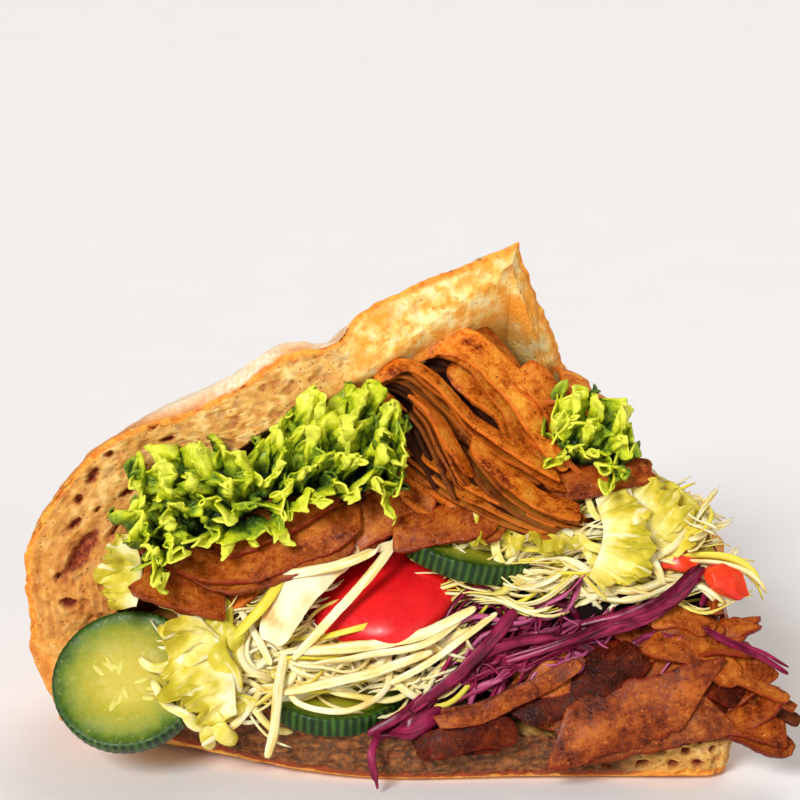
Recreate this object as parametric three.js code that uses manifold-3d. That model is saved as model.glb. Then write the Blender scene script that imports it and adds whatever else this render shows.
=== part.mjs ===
// Doner kebab sandwich: a quarter of a thick flatbread, slit open from its two cut sides and
// packed with carved meat, lettuce, shredded cabbage, cucumber and tomato.
// Millimetres, +Z up. The sandwich lies on its lower leaf, with the mouth towards -Y and the
// round crusty heel at the back. The origin is under the middle of its box.

import * as THREE from 'three';
import { mergeVertices } from 'three/addons/utils/BufferGeometryUtils.js';
import Module from 'manifold-3d';

const wasm = await Module();
wasm.setup();

const v3 = (x, y, z) => new THREE.Vector3(x, y, z);
const mix = (a, b, t) => a.clone().lerp(b, t);

// ---------- driving dimensions ----------

const CLEARANCE = 0.55; // how far a piece is swollen before it cuts a neighbour
const DETAIL = 0.2; // facets finer than this are merged after a cut
const CUTTER_DETAIL = 0.25; // the same for a swollen cutter
const SHARPEST = 0.4; // cosine that limits how far a sharp corner is moved out
const SCRAP = 0.2; // cubic millimetres that a loose piece may lose to its neighbours
const BOX_MARGIN = 2; // pieces nearer than this are tested against each other

const BREAD = {
  pointShare: 0.64, // share of the cut edges that lies left of the point of the quarter
  frontSteps: 23, // sections from the left heel end to the points of the two leaves
  sideSteps: 9, // sections from the points to the right heel end
  outerPoints: 12, // points of a section from the foot of the heel to the upper rim
  innerPoints: 10, // points of a section round the pocket
  fullDepth: 60, // pocket depth from which the heel has its full thickness
  heelThickness: 18,
  thinnest: 0.4, // share of the heel's thickness that is left where the pocket is shallow
  footInset: 17, // how far the flat underside stops short of the heel
  domeRise: 13, // bulge of the lifted leaf over a straight line
  hollow: 4, // how far the inside of the lifted leaf sinks back from a straight line
  floorRise: 2, // the pocket's floor above the lip of the lower leaf
  crustLump: 0.7,
  lumpLength: 23,
  smoothBelow: 3, // height under which the crust has no lumps
  soleBelow: 1.2, // everything lower than this is level with the table
};
const GAS_HOLE = { depth: 6, sides: 8, rows: 6, front: 24.5 };
const SEAM = { radius: 1.1, length: 16, sides: 6, place: [-107.5, 30, 36] };

// The mouth: the fillings lean back from the front edge of the lower leaf.
const MOUTH = { foot: 18, slope: 0.49, bed: 3 };
// The right cut side: the fillings lean in from the edge of the lower leaf.
const SIDE = { foot: 12, reach: 95, slope: 0.46 };
// The pocket's back wall rises and leans forward above its floor.
const POCKET = { floor: 28, lean: 0.46 };

const CUCUMBER = { radius: 21.3, squash: 0.95, thickness: 5.5, ribs: 28, ribDepth: 0.5 };
const TOMATO = { radius: 21.5, cutRadius: 19.3, domeHeight: 9, base: 3.5, rows: 6, sides: 22 };
const TOMATO_PIECE = { width: 0.62, thickness: 0.3, lump: 1.1, lumpLength: 11 };
const MEAT = { thickness: 2.6, bow: 0.1, steps: 7, lanes: 2, wobble: 0.09 };
const LEAF = { thickness: 1.2, bow: 0.12, steps: 6, lanes: 3, wobble: 0.12, taper: 0.6 };
const SHRED = { thickness: 1.3, steps: 4, tuck: 12, arch: 6, taper: 0.6 };
const FRILL = { thickness: 1, depth: 2.6, rows: 3, growth: 1.4, gather: 0.45, uneven: 0.06 };
const HEAP = { around: 12, squareness: 0.6, endSize: 0.6, leastDepth: 8, frontLump: 1.6, topLump: 1.2 };

// Crust edge and crumb edge of the lifted leaf: from the left heel end to the point, and on to the right.
const upperRim = cutEdge(
  [
    [-106, 26, 42],
    [-104, 26, 62],
    [-87, 28, 86],
    [-46, 35, 112],
    [-19, 39, 119],
    [-13, 41, 126],
    [32.5, 51, 145],
  ],
  [
    [32.5, 51, 145],
    [43, 62, 113],
    [58, 79, 80],
    [96, 98, 36],
  ]
);
const upperLip = cutEdge(
  [
    [-84, 25, 37],
    [-80, 25, 47],
    [-70, 26, 67],
    [-40, 31, 93],
    [-15, 34, 106],
    [31, 46, 140],
  ],
  [
    [31, 46, 140],
    [39, 55, 112],
    [53, 71, 79],
    [86, 88, 33],
  ]
);
// Crumb edge and crust edge of the lower leaf.
const lowerLip = cutEdge(
  [
    [-86, 24, 35.5],
    [-62, 14, 25],
    [-15, 1, 16],
    [40, 1, 14],
    [92, 1, 12],
  ],
  [
    [92, 1, 12],
    [94, 50, 14],
    [86, 86, 28],
  ]
);
const lowerRim = cutEdge(
  [
    [-98, 26, 12],
    [-63, 14, 5],
    [-15, 1, 0.8],
    [40, 1, 0.8],
    [91, 1, 0.8],
  ],
  [
    [91, 1, 0.8],
    [95, 50, 0.8],
    [95, 94, 8],
  ]
);
// The furthest-back line of the heel.
const heelLine = cutEdge(
  [
    [-107, 33, 27],
    [-101, 62, 28],
    [-74, 96, 28],
    [-30, 117, 28],
    [24, 124, 28],
  ],
  [
    [24, 124, 28],
    [62, 120, 27],
    [97, 101, 24],
  ]
);

// ---------- small tools ----------

// A guide line with a corner at the point of the quarter and smooth on both sides of it.
function cutEdge(frontPoints, sidePoints) {
  const front = smooth(frontPoints);
  const side = smooth(sidePoints);
  return (s) =>
    s <= BREAD.pointShare
      ? front.getPointAt(s / BREAD.pointShare)
      : side.getPointAt((s - BREAD.pointShare) / (1 - BREAD.pointShare));
}

function smooth(points) {
  return new THREE.CatmullRomCurve3(points.map((p) => (p.isVector3 ? p : v3(...p))));
}

// A place among the fillings: across, up, and how far it stands proud of the leaning front.
function inMouth([x, z, proud = 0]) {
  return v3(x, MOUTH.slope * (z - MOUTH.foot) + MOUTH.bed - proud, z);
}

// A place on the right cut side: back, up, and how far it stands proud of the leaning side.
function onSide([y, z, proud = 0]) {
  return v3(SIDE.reach - SIDE.slope * (z - SIDE.foot) + proud, y, z);
}

// Random draws from a named seed, the same every time.
function drawer(seed) {
  let state = seed >>> 0;
  return (low = 0, high = 1) => {
    state = (Math.imul(state, 1664525) + 1013904223) >>> 0;
    return low + ((high - low) * state) / 4294967296;
  };
}

// Low soft lumps from crossed waves, between -1 and 1.
function lumps(p, wavelength, shift = 0) {
  const k = (2 * Math.PI) / wavelength;
  const a = Math.sin(k * (p.x + 0.6 * p.y) + shift);
  const b = Math.sin(k * (1.1 * p.y - 0.7 * p.z) + 2.1 * shift + 1.7);
  const c = Math.sin(k * (0.9 * p.z + 0.8 * p.x) + 1.3 * shift + 4.2);
  return (a + b + c) / 3;
}

// ---------- solids ----------

function toSolid(geometry) {
  const bare = geometry.clone();
  bare.deleteAttribute('normal');
  bare.deleteAttribute('uv');
  const merged = mergeVertices(bare, 1e-3);
  return new wasm.Manifold(
    new wasm.Mesh({
      numProp: 3,
      vertProperties: merged.attributes.position.array,
      triVerts: new Uint32Array(merged.index.array),
    })
  );
}

function toGeometry(solid) {
  const mesh = solid.getMesh();
  const geometry = new THREE.BufferGeometry();
  geometry.setAttribute('position', new THREE.BufferAttribute(Float32Array.from(mesh.vertProperties), 3));
  geometry.setIndex(new THREE.BufferAttribute(Uint32Array.from(mesh.triVerts), 1));
  return geometry;
}

// Moves each point of a closed skin along its normal by what `amount` says for that point.
function pushOut(geometry, amount) {
  geometry.computeVertexNormals();
  const position = geometry.attributes.position;
  const normal = geometry.attributes.normal;
  const p = v3(0, 0, 0);
  const n = v3(0, 0, 0);
  for (let i = 0; i < position.count; i++) {
    p.fromBufferAttribute(position, i);
    n.fromBufferAttribute(normal, i);
    p.addScaledVector(n, amount(p));
    position.setXYZ(i, p.x, p.y, p.z);
  }
  return geometry;
}

// The same solid with every face moved out by the clearance, for cutting a neighbour with a gap.
function swollen(solid) {
  const geometry = toGeometry(solid);
  geometry.computeVertexNormals();
  const position = geometry.attributes.position;
  const normal = geometry.attributes.normal;
  const index = geometry.index.array;
  const least = new Float32Array(position.count).fill(1);
  const corner = (i) => v3(0, 0, 0).fromBufferAttribute(position, i);
  for (let f = 0; f < index.length; f += 3) {
    const [a, b, c] = index.subarray(f, f + 3);
    const face = new THREE.Triangle(corner(a), corner(b), corner(c)).getNormal(v3(0, 0, 0));
    for (const i of [a, b, c]) {
      least[i] = Math.min(least[i], face.dot(v3(0, 0, 0).fromBufferAttribute(normal, i)));
    }
  }
  for (let i = 0; i < position.count; i++) {
    const p = corner(i);
    p.addScaledVector(v3(0, 0, 0).fromBufferAttribute(normal, i), CLEARANCE / Math.max(SHARPEST, least[i]));
    position.setXYZ(i, p.x, p.y, p.z);
  }
  return toSolid(geometry).simplify(CUTTER_DETAIL);
}

function largestBody(solid) {
  return solid.decompose().reduce((best, body) => (body.volume() > best.volume() ? body : best));
}

function united(solids) {
  return solids.reduce((all, one) => all.add(one));
}

// A closed skin over a row of rings that all have the same number of points.
function loft(rings) {
  const size = rings[0].length;
  const last = (rings.length - 1) * size;
  const faces = [];
  for (let r = 0; r + 1 < rings.length; r++) {
    for (let i = 0; i < size; i++) {
      const a = r * size + i;
      const b = r * size + ((i + 1) % size);
      faces.push(a, b, a + size, b, b + size, a + size);
    }
  }
  const cap = capOf(size);
  for (const [a, b, c] of cap) faces.push(c, b, a);
  for (const [a, b, c] of cap) faces.push(last + a, last + b, last + c);
  const geometry = new THREE.BufferGeometry().setFromPoints(rings.flat());
  geometry.setIndex(faces);
  return geometry;
}

// Triangles that zip the first half of a ring to its second half.
function capOf(size) {
  const half = size / 2;
  const triangles = [];
  let i = 0;
  let j = size - 1;
  while (i < half || j > half + 1) {
    if (i <= size - 1 - j && i < half) triangles.push([i, ++i, j]);
    else triangles.push([j - 1, j--, i]);
  }
  return triangles;
}

// A thin solid over a grid, both faces split alike. `at(u, v)` is its middle surface.
function sheet(at, stepsU, stepsV, thickness) {
  const reach = 1e-3;
  const lower = [];
  const upper = [];
  for (let j = 0; j <= stepsV; j++) {
    for (let i = 0; i <= stepsU; i++) {
      const u = i / stepsU;
      const v = j / stepsV;
      const alongU = at(Math.min(1, u + reach), v).sub(at(Math.max(0, u - reach), v));
      const alongV = at(u, Math.min(1, v + reach)).sub(at(u, Math.max(0, v - reach)));
      const normal = alongU.cross(alongV).normalize();
      const middle = at(u, v);
      upper.push(middle.clone().addScaledVector(normal, thickness / 2));
      lower.push(middle.clone().addScaledVector(normal, -thickness / 2));
    }
  }
  const row = stepsU + 1;
  const count = upper.length;
  const faces = [];
  for (let j = 0; j < stepsV; j++) {
    for (let i = 0; i < stepsU; i++) {
      const a = j * row + i;
      const [b, c, d] = [a + 1, a + row + 1, a + row];
      faces.push(a, b, c, a, c, d);
      faces.push(count + a, count + c, count + b, count + a, count + d, count + c);
    }
  }
  const wall = (a, b) => faces.push(a, count + a, count + b, a, count + b, b);
  for (let i = 0; i < stepsU; i++) {
    wall(i, i + 1);
    wall(stepsV * row + i + 1, stepsV * row + i);
  }
  for (let j = 0; j < stepsV; j++) {
    wall((j + 1) * row, j * row);
    wall(j * row + stepsU, (j + 1) * row + stepsU);
  }
  const geometry = new THREE.BufferGeometry().setFromPoints([...upper, ...lower]);
  geometry.setIndex(faces);
  return geometry;
}

// A strip that follows a route, with its broad side turned to `face`.
function strip(shape) {
  const { route, face, width, thickness, steps } = shape;
  const { taper = 0.45, bow = 0, lanes = 1, wobble = 0, seed = 1 } = shape;
  const line = smooth(route);
  const outward = v3(...face).normalize();
  const draw = drawer(seed);
  const phase = draw(0, 6);
  const at = (u, v) => {
    const along = line.getTangent(u);
    const side = along.clone().cross(outward).normalize();
    const facing = side.clone().cross(along);
    const round = taper + (1 - taper) * Math.sqrt(Math.max(0, 1 - Math.abs(2 * u - 1) ** 3));
    const ragged = 1 + wobble * (Math.sin(17 * u + phase) + Math.sin(29 * u + 2 * phase + 5 * v));
    const across = (v - 0.5) * width * round * ragged;
    const bend = bow * (1 - (2 * v - 1) ** 2) + wobble * 9 * Math.sin(9 * u + 3 * v + phase);
    return line.getPoint(u).addScaledVector(side, -across).addScaledVector(facing, bend);
  };
  return sheet(at, steps, lanes, thickness);
}

// ---------- bread ----------

// One section of the bread: under the lower leaf, round the heel, over the lifted leaf and back inside.
function breadSection(s) {
  const rimLow = lowerRim(s);
  const lipLow = lowerLip(s);
  const rimUp = upperRim(s);
  const lipUp = upperLip(s);
  const heel = heelLine(s);
  const mouth = mix(lipLow, lipUp, 0.5);
  const inward = mouth.clone().sub(heel).setZ(0).normalize();
  const depth = Math.min(1, mouth.distanceTo(heel) / BREAD.fullDepth);
  const level = (from, to) => THREE.MathUtils.lerp(from, to, depth);
  const thickness = BREAD.heelThickness * level(BREAD.thinnest, 1);

  const foot = heel.clone().addScaledVector(inward, BREAD.footInset * depth + BREAD.floorRise);
  foot.z = level(rimLow.z + 1, 1);
  const sole = mix(rimLow, foot, 0.5);
  sole.z = level(rimLow.z, 0);
  const dome = mix(heel, rimUp, 0.5).addScaledVector(inward, -BREAD.domeRise * depth);
  dome.z += BREAD.domeRise * depth;
  const outside = curve([foot, heel, dome, rimUp]);

  const innerHeel = heel.clone().addScaledVector(inward, thickness);
  const innerDome = mix(innerHeel, lipUp, 0.5).addScaledVector(inward, -BREAD.hollow * depth);
  innerDome.z += BREAD.hollow * depth;
  const innerFloor = mix(lipLow, innerHeel, 0.5);
  innerFloor.z = level(innerFloor.z, lipLow.z + BREAD.floorRise);
  const inside = curve([lipUp, innerDome, innerHeel, innerFloor, lipLow]);
  return [
    rimLow,
    sole,
    ...outside.getPoints(BREAD.outerPoints),
    mix(rimUp, lipUp, 0.33),
    mix(rimUp, lipUp, 0.67),
    ...inside.getPoints(BREAD.innerPoints),
  ];
}

function curve(points) {
  return new THREE.CatmullRomCurve3(points, false, 'centripetal');
}

function breadBody() {
  const { pointShare, frontSteps, sideSteps } = BREAD;
  const rings = [];
  for (let k = 0; k < frontSteps; k++) {
    rings.push(breadSection((pointShare * k) / frontSteps));
  }
  for (let k = 0; k <= sideSteps; k++) {
    rings.push(breadSection(pointShare + ((1 - pointShare) * k) / sideSteps));
  }
  const skin = toGeometry(toSolid(loft(rings)));
  pushOut(skin, (p) => (p.z > BREAD.smoothBelow ? BREAD.crustLump * lumps(p, BREAD.lumpLength) : 0));
  levelSole(skin);
  return toSolid(skin);
}

// The underside that rests on the table is flat.
function levelSole(geometry) {
  const position = geometry.attributes.position;
  for (let i = 0; i < position.count; i++) {
    if (position.getZ(i) < BREAD.soleBelow) position.setZ(i, 0);
  }
}

// The large gas holes in the cut crumb of the fold, each [x, z, half width, half height, lean].
const GAS_HOLES = [
  [-90.5, 58, 2.6, 7, 0.5],
  [-90.5, 69, 1.8, 2.8, 0.6],
  [-91, 75.5, 1.3, 2.2, 0.6],
  [-87.5, 82, 1.6, 3, 0.6],
  [-91, 46, 2, 2, 0],
];

function gasHole([x, z, halfWidth, halfHeight, lean]) {
  const hole = new THREE.SphereGeometry(1, GAS_HOLE.sides, GAS_HOLE.rows);
  hole.scale(halfWidth, GAS_HOLE.depth, halfHeight);
  hole.rotateY(lean);
  hole.translate(x, GAS_HOLE.front, z);
  return toSolid(hole);
}

// The seam in the crust where the two leaves part at the left end of the heel.
function heelSeam() {
  const seam = new THREE.CylinderGeometry(SEAM.radius, SEAM.radius, SEAM.length, SEAM.sides);
  seam.rotateX(Math.PI / 2);
  seam.translate(...SEAM.place);
  return toSolid(seam);
}

function flatbread() {
  return breadBody().subtract(united([...GAS_HOLES.map(gasHole), heelSeam()]));
}

// ---------- vegetables ----------

// Turns a piece that lies flat so that its upper side looks along `normal`, and moves it to its place.
function facing(geometry, normal, centre) {
  const turn = new THREE.Quaternion().setFromUnitVectors(v3(0, 0, 1), v3(...normal).normalize());
  geometry.applyQuaternion(turn);
  geometry.translate(...centre);
  return geometry;
}

// A round slice with the ribs of the peel round its edge.
function cucumberSlice(normal, centre) {
  const outline = new THREE.Shape();
  const points = 2 * CUCUMBER.ribs;
  for (let k = 0; k < points; k++) {
    const angle = (2 * Math.PI * k) / points;
    const radius = CUCUMBER.radius - (k % 2) * CUCUMBER.ribDepth;
    const go = k === 0 ? 'moveTo' : 'lineTo';
    outline[go](radius * Math.cos(angle), CUCUMBER.squash * radius * Math.sin(angle));
  }
  const slice = new THREE.ExtrudeGeometry(outline, { depth: CUCUMBER.thickness, bevelEnabled: false });
  slice.translate(0, 0, -CUCUMBER.thickness / 2);
  return facing(slice, normal, centre);
}

// The domed end cut off a tomato, skin side out.
function tomatoCap(normal, centre) {
  const { radius, cutRadius, domeHeight, base, rows, sides } = TOMATO;
  const profile = [new THREE.Vector2(0, -base), new THREE.Vector2(cutRadius, -base)];
  for (let k = 0; k < rows; k++) {
    const angle = ((k / rows) * Math.PI) / 2;
    profile.push(new THREE.Vector2(radius * Math.cos(angle), domeHeight * Math.sin(angle)));
  }
  profile.push(new THREE.Vector2(0, domeHeight));
  const cap = new THREE.LatheGeometry(profile, sides);
  cap.rotateX(Math.PI / 2);
  return facing(cap, normal, centre);
}

// A soft bit of chopped tomato.
function tomatoPiece(normal, centre, length, seed) {
  const piece = new THREE.IcosahedronGeometry(length, 2);
  piece.scale(1, TOMATO_PIECE.width, TOMATO_PIECE.thickness);
  const soft = toGeometry(toSolid(piece));
  pushOut(soft, (p) => TOMATO_PIECE.lump * lumps(p, TOMATO_PIECE.lumpLength, seed));
  return facing(soft, normal, centre);
}

// A frilled lettuce leaf: smooth near its rib, ruffled more and more towards its rim.
function frillyLeaf({ root, rim, ruffles, steps, seed }) {
  const rootLine = smooth(root.map(inMouth));
  const rimLine = smooth(rim.map(inMouth));
  const phase = drawer(seed)(0, 2 * Math.PI);
  const at = (u, v) => {
    const low = rootLine.getPoint(u);
    const high = rimLine.getPoint(u);
    const rise = high.clone().sub(low).normalize();
    const along = rimLine.getTangent(u);
    const out = along.clone().cross(rise).normalize();
    const wave = 2 * Math.PI * ruffles * u + phase;
    const grow = FRILL.depth * v ** FRILL.growth;
    const throwOut = grow * (Math.sin(wave) + 0.35 * Math.sin(2.3 * wave + 1));
    const gather = grow * FRILL.gather * Math.cos(wave);
    const reach = v * (1 + FRILL.uneven * Math.sin(1.7 * wave + 2));
    return mix(low, high, reach).addScaledVector(out, throwOut).addScaledVector(along, gather);
  };
  return toSolid(sheet(at, steps, FRILL.rows, FRILL.thickness));
}

// ---------- heaps ----------

// The packed body of a heap, between two heights that change along X. It fills the pocket behind the mouth.
function heapCore({ low, high, far, inset, seed, steps = 8 }) {
  const lowLine = smooth(low.map(([x, z]) => [x, 0, z]));
  const highLine = smooth(high.map(([x, z]) => [x, 0, z]));
  const farLine = smooth(far.map(([x, y]) => [x, y, 0]));
  const square = (c) => Math.sign(c) * Math.abs(c) ** HEAP.squareness;
  const rings = [];
  for (let k = 0; k <= steps; k++) {
    const u = k / steps;
    const bottom = lowLine.getPoint(u);
    const top = highLine.getPoint(u);
    const size = HEAP.endSize + (1 - HEAP.endSize) * Math.sin(Math.PI * u) ** 0.4;
    const ring = [];
    for (let i = 0; i < HEAP.around; i++) {
      const angle = (2 * Math.PI * i) / HEAP.around;
      const z = (bottom.z + top.z) / 2 + ((top.z - bottom.z) / 2) * square(Math.sin(angle)) * size;
      const front = MOUTH.slope * (z - MOUTH.foot) + inset;
      const back = farLine.getPoint(u).y - POCKET.lean * Math.max(0, z - POCKET.floor);
      const share = 0.5 + 0.5 * square(Math.cos(angle)) * size;
      const y = THREE.MathUtils.lerp(front, Math.max(back, front + HEAP.leastDepth), share);
      const p = v3(bottom.x, y, z);
      p.y -= HEAP.frontLump * lumps(p, 15, seed) * (1 - share);
      p.z += HEAP.topLump * lumps(p, 13, seed + 2);
      ring.push(p);
    }
    rings.push(ring);
  }
  return toSolid(loft(rings));
}

// The two open sides of the sandwich, and the way each one faces.
const FRONT = { place: inMouth, faces: [0, -1] };
const RIGHT = { place: onSide, faces: [1, -0.3] };

// Loose shreds strewn over a stretch of an open side, their ends tucked into the heap.
function strewnShreds(opening, { count, seed, along, up, lean, length, width, proud }) {
  const draw = drawer(seed);
  const shreds = [];
  for (let k = 0; k < count; k++) {
    const a = draw(...along);
    const z = draw(...up);
    const angle = draw(...lean);
    const half = draw(...length) / 2;
    const arch = draw(-SHRED.arch, SHRED.arch);
    const stand = draw(...proud);
    const da = half * Math.cos(angle);
    const dz = half * Math.sin(angle);
    const route = [
      [a - da, z - dz, -SHRED.tuck],
      [a - 0.5 * da - 0.1 * arch, z - 0.5 * dz + 0.7 * arch, stand],
      [a + 0.5 * da - 0.1 * arch, z + 0.5 * dz + 0.7 * arch, stand + 0.5],
      [a + da, z + dz, -SHRED.tuck],
    ].map(opening.place);
    const [outX, outY] = opening.faces;
    shreds.push(shred(route, draw(...width), [outX + draw(-0.4, 0.4), outY, draw(-0.2, 0.9)]));
  }
  return shreds;
}

function shred(route, width, face) {
  const { thickness, steps, taper } = SHRED;
  return toSolid(strip({ route, face, width, thickness, steps, taper }));
}

// ---------- materials ----------

function food(color, roughness) {
  return () => new THREE.MeshStandardMaterial({ color, roughness, metalness: 0 });
}

const crumbAndCrust = food(0xdca55a, 0.85);
const carvedMeat = food(0xa8591f, 0.5);
const greenLeaf = food(0xb4c926, 0.45);
const paleLeaf = food(0xe3e39a, 0.45);
const cucumberFlesh = food(0xb9cf62, 0.35);
const tomatoFlesh = food(0xd8202a, 0.25);
const whiteCabbage = food(0xf0e6bd, 0.5);
const redCabbage = food(0x7c1f57, 0.4);

// ---------- putting the pieces together ----------

const placed = [];

function near(a, b) {
  return [0, 1, 2].every((i) => a.min[i] - BOX_MARGIN < b.max[i] && b.min[i] - BOX_MARGIN < a.max[i]);
}

// Adds a piece, cut back to clear everything that is already there. Loose scraps are dropped.
function add(group, name, material, solid) {
  const neighbours = placed.filter((other) => near(solid.boundingBox(), other.box));
  let kept = solid;
  for (const other of neighbours) kept = kept.subtract(other.swollen);
  kept = kept.simplify(DETAIL);
  for (const other of neighbours) kept = kept.subtract(other.kept);
  kept = largestBody(toSolid(toGeometry(largestBody(kept))));
  placed.push({ kept, swollen: swollen(kept), box: kept.boundingBox() });
  const geometry = toGeometry(kept);
  geometry.computeBoundingBox();
  const centre = geometry.boundingBox.getCenter(v3(0, 0, 0));
  geometry.translate(-centre.x, -centre.y, -centre.z);
  geometry.computeVertexNormals();
  const mesh = new THREE.Mesh(geometry, material());
  mesh.name = name;
  mesh.position.copy(centre);
  group.add(mesh);
}

// A heap: its packed core, with the loose pieces that lie clear of everything else fused on.
function addHeap(group, name, material, core, pieces) {
  const crosses = (piece, other) =>
    near(piece.boundingBox(), other.box) && piece.intersect(other.swollen).volume() > SCRAP;
  const clear = pieces.filter((piece) => !placed.some((other) => crosses(piece, other)));
  add(group, name, material, united([core, ...clear]));
}

// ---------- the pieces ----------

// Each slice: the way its face looks, and its middle.
const CUCUMBERS = {
  cucumber_slice_left: [[-0.12, -0.74, 0.66], [-77, 7, 28]],
  cucumber_slice_low: [[0.03, -0.2, 0.97], [-19.5, 18, 21.5]],
  cucumber_slice_middle: [[0.22, -0.12, 0.97], [18, 34, 60]],
};

function addCucumber(group) {
  for (const [name, [normal, centre]] of Object.entries(CUCUMBERS)) {
    add(group, name, cucumberFlesh, toSolid(cucumberSlice(normal, centre)));
  }
}

function addTomato(group) {
  add(group, 'tomato_cap', tomatoFlesh, toSolid(tomatoCap([-0.14, -0.3, 0.94], [-6, 26, 46])));
  const right = tomatoPiece([0.3, -0.7, 0.6], inMouth([90, 54, 3]), 8.5, 3);
  const left = tomatoPiece([-0.1, -0.8, 0.6], inMouth([76, 59, 1]), 8, 5);
  add(group, 'tomato_piece_1', tomatoFlesh, toSolid(right));
  add(group, 'tomato_piece_2', tomatoFlesh, toSolid(left));
}

// Each carved slice: its width, the way its broad side faces, and its route through the mouth.
const UP = [0.05, -0.55, 0.8];
const MEAT_SLICES = {
  kebab_slice_left_top: [13, UP, [[-53, 63, 5], [-40, 69, 5], [-29, 74, 5], [-18, 78, 3]]],
  kebab_slice_left_middle: [12, UP, [[-70, 65, 6], [-59, 61, 7], [-46, 59, 7], [-29, 64, 6], [-12, 70, 4]]],
  kebab_slice_left_low: [11, UP, [[-75, 56, 7], [-64, 53, 8], [-50, 49, 7]]],
  kebab_slice_centre: [13, [0, -0.7, 0.7], [[-19, 63, 2], [-7, 70, 2], [7, 76, 1]]],
  kebab_slice_flat: [12, [0.05, -0.6, 0.8], [[-3, 66, 5], [12, 69, 5], [27, 70, 5]]],
  kebab_slice_right_flat: [9, [0.1, -0.6, 0.8], [[42, 77, 4], [56, 80, 4], [69, 82, 2]]],
  kebab_strip_outer_arc: [
    10,
    [0.5, -0.8, 0.35],
    [[0, 111, 1], [9, 115, 1], [20, 113, 2], [31, 103, 2], [39, 92, 3], [46, 83, 3]],
  ],
  kebab_strip_folded: [
    6,
    [0.4, -0.5, 0.75],
    [[-8, 106, 6], [1, 110, 8], [10, 106, 9], [19, 97, 8], [32, 88, 8], [43, 82, 7]],
  ],
  kebab_strip_upright: [4.5, [0.7, -0.7, 0.2], [[3, 103, 12], [9, 98, 13], [14, 90, 12], [18, 83, 11]]],
  kebab_strip_inner: [4, [0.45, -0.7, 0.5], [[13, 98, 5], [22, 90, 5], [33, 81, 4]]],
  kebab_strip_wide: [9, [0.45, -0.75, 0.5], [[19, 92, 10], [27, 84, 11], [38, 77, 11], [49, 73, 9]]],
  kebab_strip_lower: [5, [0.3, -0.75, 0.5], [[-1, 91, 5], [11, 83, 6], [25, 76, 6], [43, 70, 6]]],
  kebab_slice_bottom_large: [17, [0.1, -0.9, 0.5], [[42, 15, 6], [57, 20, 6], [71, 24, 6], [84, 28, 6]]],
  kebab_slice_bottom_dark: [13, [-0.1, -0.7, 0.6], [[31, 20, 3], [44, 26, 3], [55, 31, 3], [66, 36, 3]]],
  kebab_slice_bottom_back: [10, [0.2, -0.6, 0.75], [[68, 39, 4], [80, 37, 4], [93, 29, 3]]],
  kebab_strip_right: [5, [0.3, -0.5, 0.8], [[86, 33, 3], [97, 28, 3], [107, 24, 3]]],
  kebab_slice_right_low: [9, [0.1, -0.6, 0.8], [[78, 17, 2], [92, 19, 3], [106, 15, 3]]],
  kebab_slice_front_low: [9, [-0.1, -0.9, 0.4], [[7, 13, 5], [18, 16, 5], [31, 17, 4]]],
  kebab_strip_thin: [5, [0, -0.9, 0.4], [[9, 20, 7], [21, 22, 7], [35, 28, 7], [49, 35, 7]]],
  kebab_slice_right_back: [9, [0.3, -0.7, 0.6], [[74, 30, 2], [84, 29, 3], [94, 24, 2]]],
  kebab_piece_under_pepper: [7, [0.1, -0.6, 0.8], [[69, 43, 3], [77, 45, 3], [86, 41, 2]]],
};

function carvedSlice(route, width, face, seed) {
  const { thickness, bow, steps, lanes, wobble } = MEAT;
  return toSolid(strip({ route, face, width, thickness, bow: bow * width, steps, lanes, wobble, seed }));
}

function addCarvedSlices(group) {
  Object.entries(MEAT_SLICES).forEach(([name, [width, face, route]], order) => {
    add(group, name, carvedMeat, carvedSlice(route.map(inMouth), width, face, order + 5));
  });
}

function addFrillyLettuce(group) {
  const left = frillyLeaf({
    root: [[-70, 62, 3], [-55, 68, 3], [-38, 77, 2], [-20, 82, 2], [-4, 84, 2]],
    rim: [
      [-79, 66, 14],
      [-72, 84, 14],
      [-57, 91, 13],
      [-42, 93, 12],
      [-31, 105, 9],
      [-18, 108, 7],
      [-4, 107, 6],
      [3, 98, 7],
    ],
    ruffles: 9,
    steps: 42,
    seed: 4,
  });
  const right = frillyLeaf({
    root: [[42, 88, -2], [48, 86, -2], [54, 84, -1], [59, 82, 0]],
    rim: [[38, 100, 3], [44, 106, 3], [56, 106, 3], [65, 98, 4], [65, 84, 5]],
    ruffles: 6,
    steps: 24,
    seed: 9,
  });
  add(group, 'frilly_lettuce_left', greenLeaf, left);
  add(group, 'frilly_lettuce_right', greenLeaf, right);
}

// Smooth pale leaves of iceberg lettuce, and the broad rib of a white cabbage.
const PALE_LEAVES = {
  pale_leaf_left: [13, [-0.1, -0.9, 0.3], [[-81, 68, 7], [-80, 60, 8], [-78, 52, 9]], paleLeaf],
  iceberg_leaf_left: [22, [-0.1, -0.85, 0.45], [[-62, 45, 7], [-57, 34, 9], [-52, 22, 9]], paleLeaf],
  iceberg_leaf_middle: [13, [0.05, -0.6, 0.8], [[8, 69, 2], [27, 69, 3], [46, 64, 4]], paleLeaf],
  iceberg_fold_right: [11, [0.3, -0.9, 0.1], [[57, 76, 4], [64, 69, 6], [62, 60, 6], [55, 55, 5]], paleLeaf],
  iceberg_leaf_right: [13, [0.3, -0.7, 0.6], [[66, 76, 2], [74, 69, 3], [80, 62, 3]], paleLeaf],
  white_cabbage_rib: [
    10,
    [-0.3, -0.9, 0.2],
    [[-11, 64, 4], [-20, 58, 6], [-29, 49, 7], [-34, 40, 7]],
    whiteCabbage,
  ],
};

function addPaleLeaves(group) {
  Object.entries(PALE_LEAVES).forEach(([name, [width, face, route, material]], order) => {
    const bow = LEAF.bow * width;
    const leaf = strip({ ...LEAF, route: route.map(inMouth), face, width, bow, seed: order + 40 });
    add(group, name, material, toSolid(leaf));
  });
}

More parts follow.
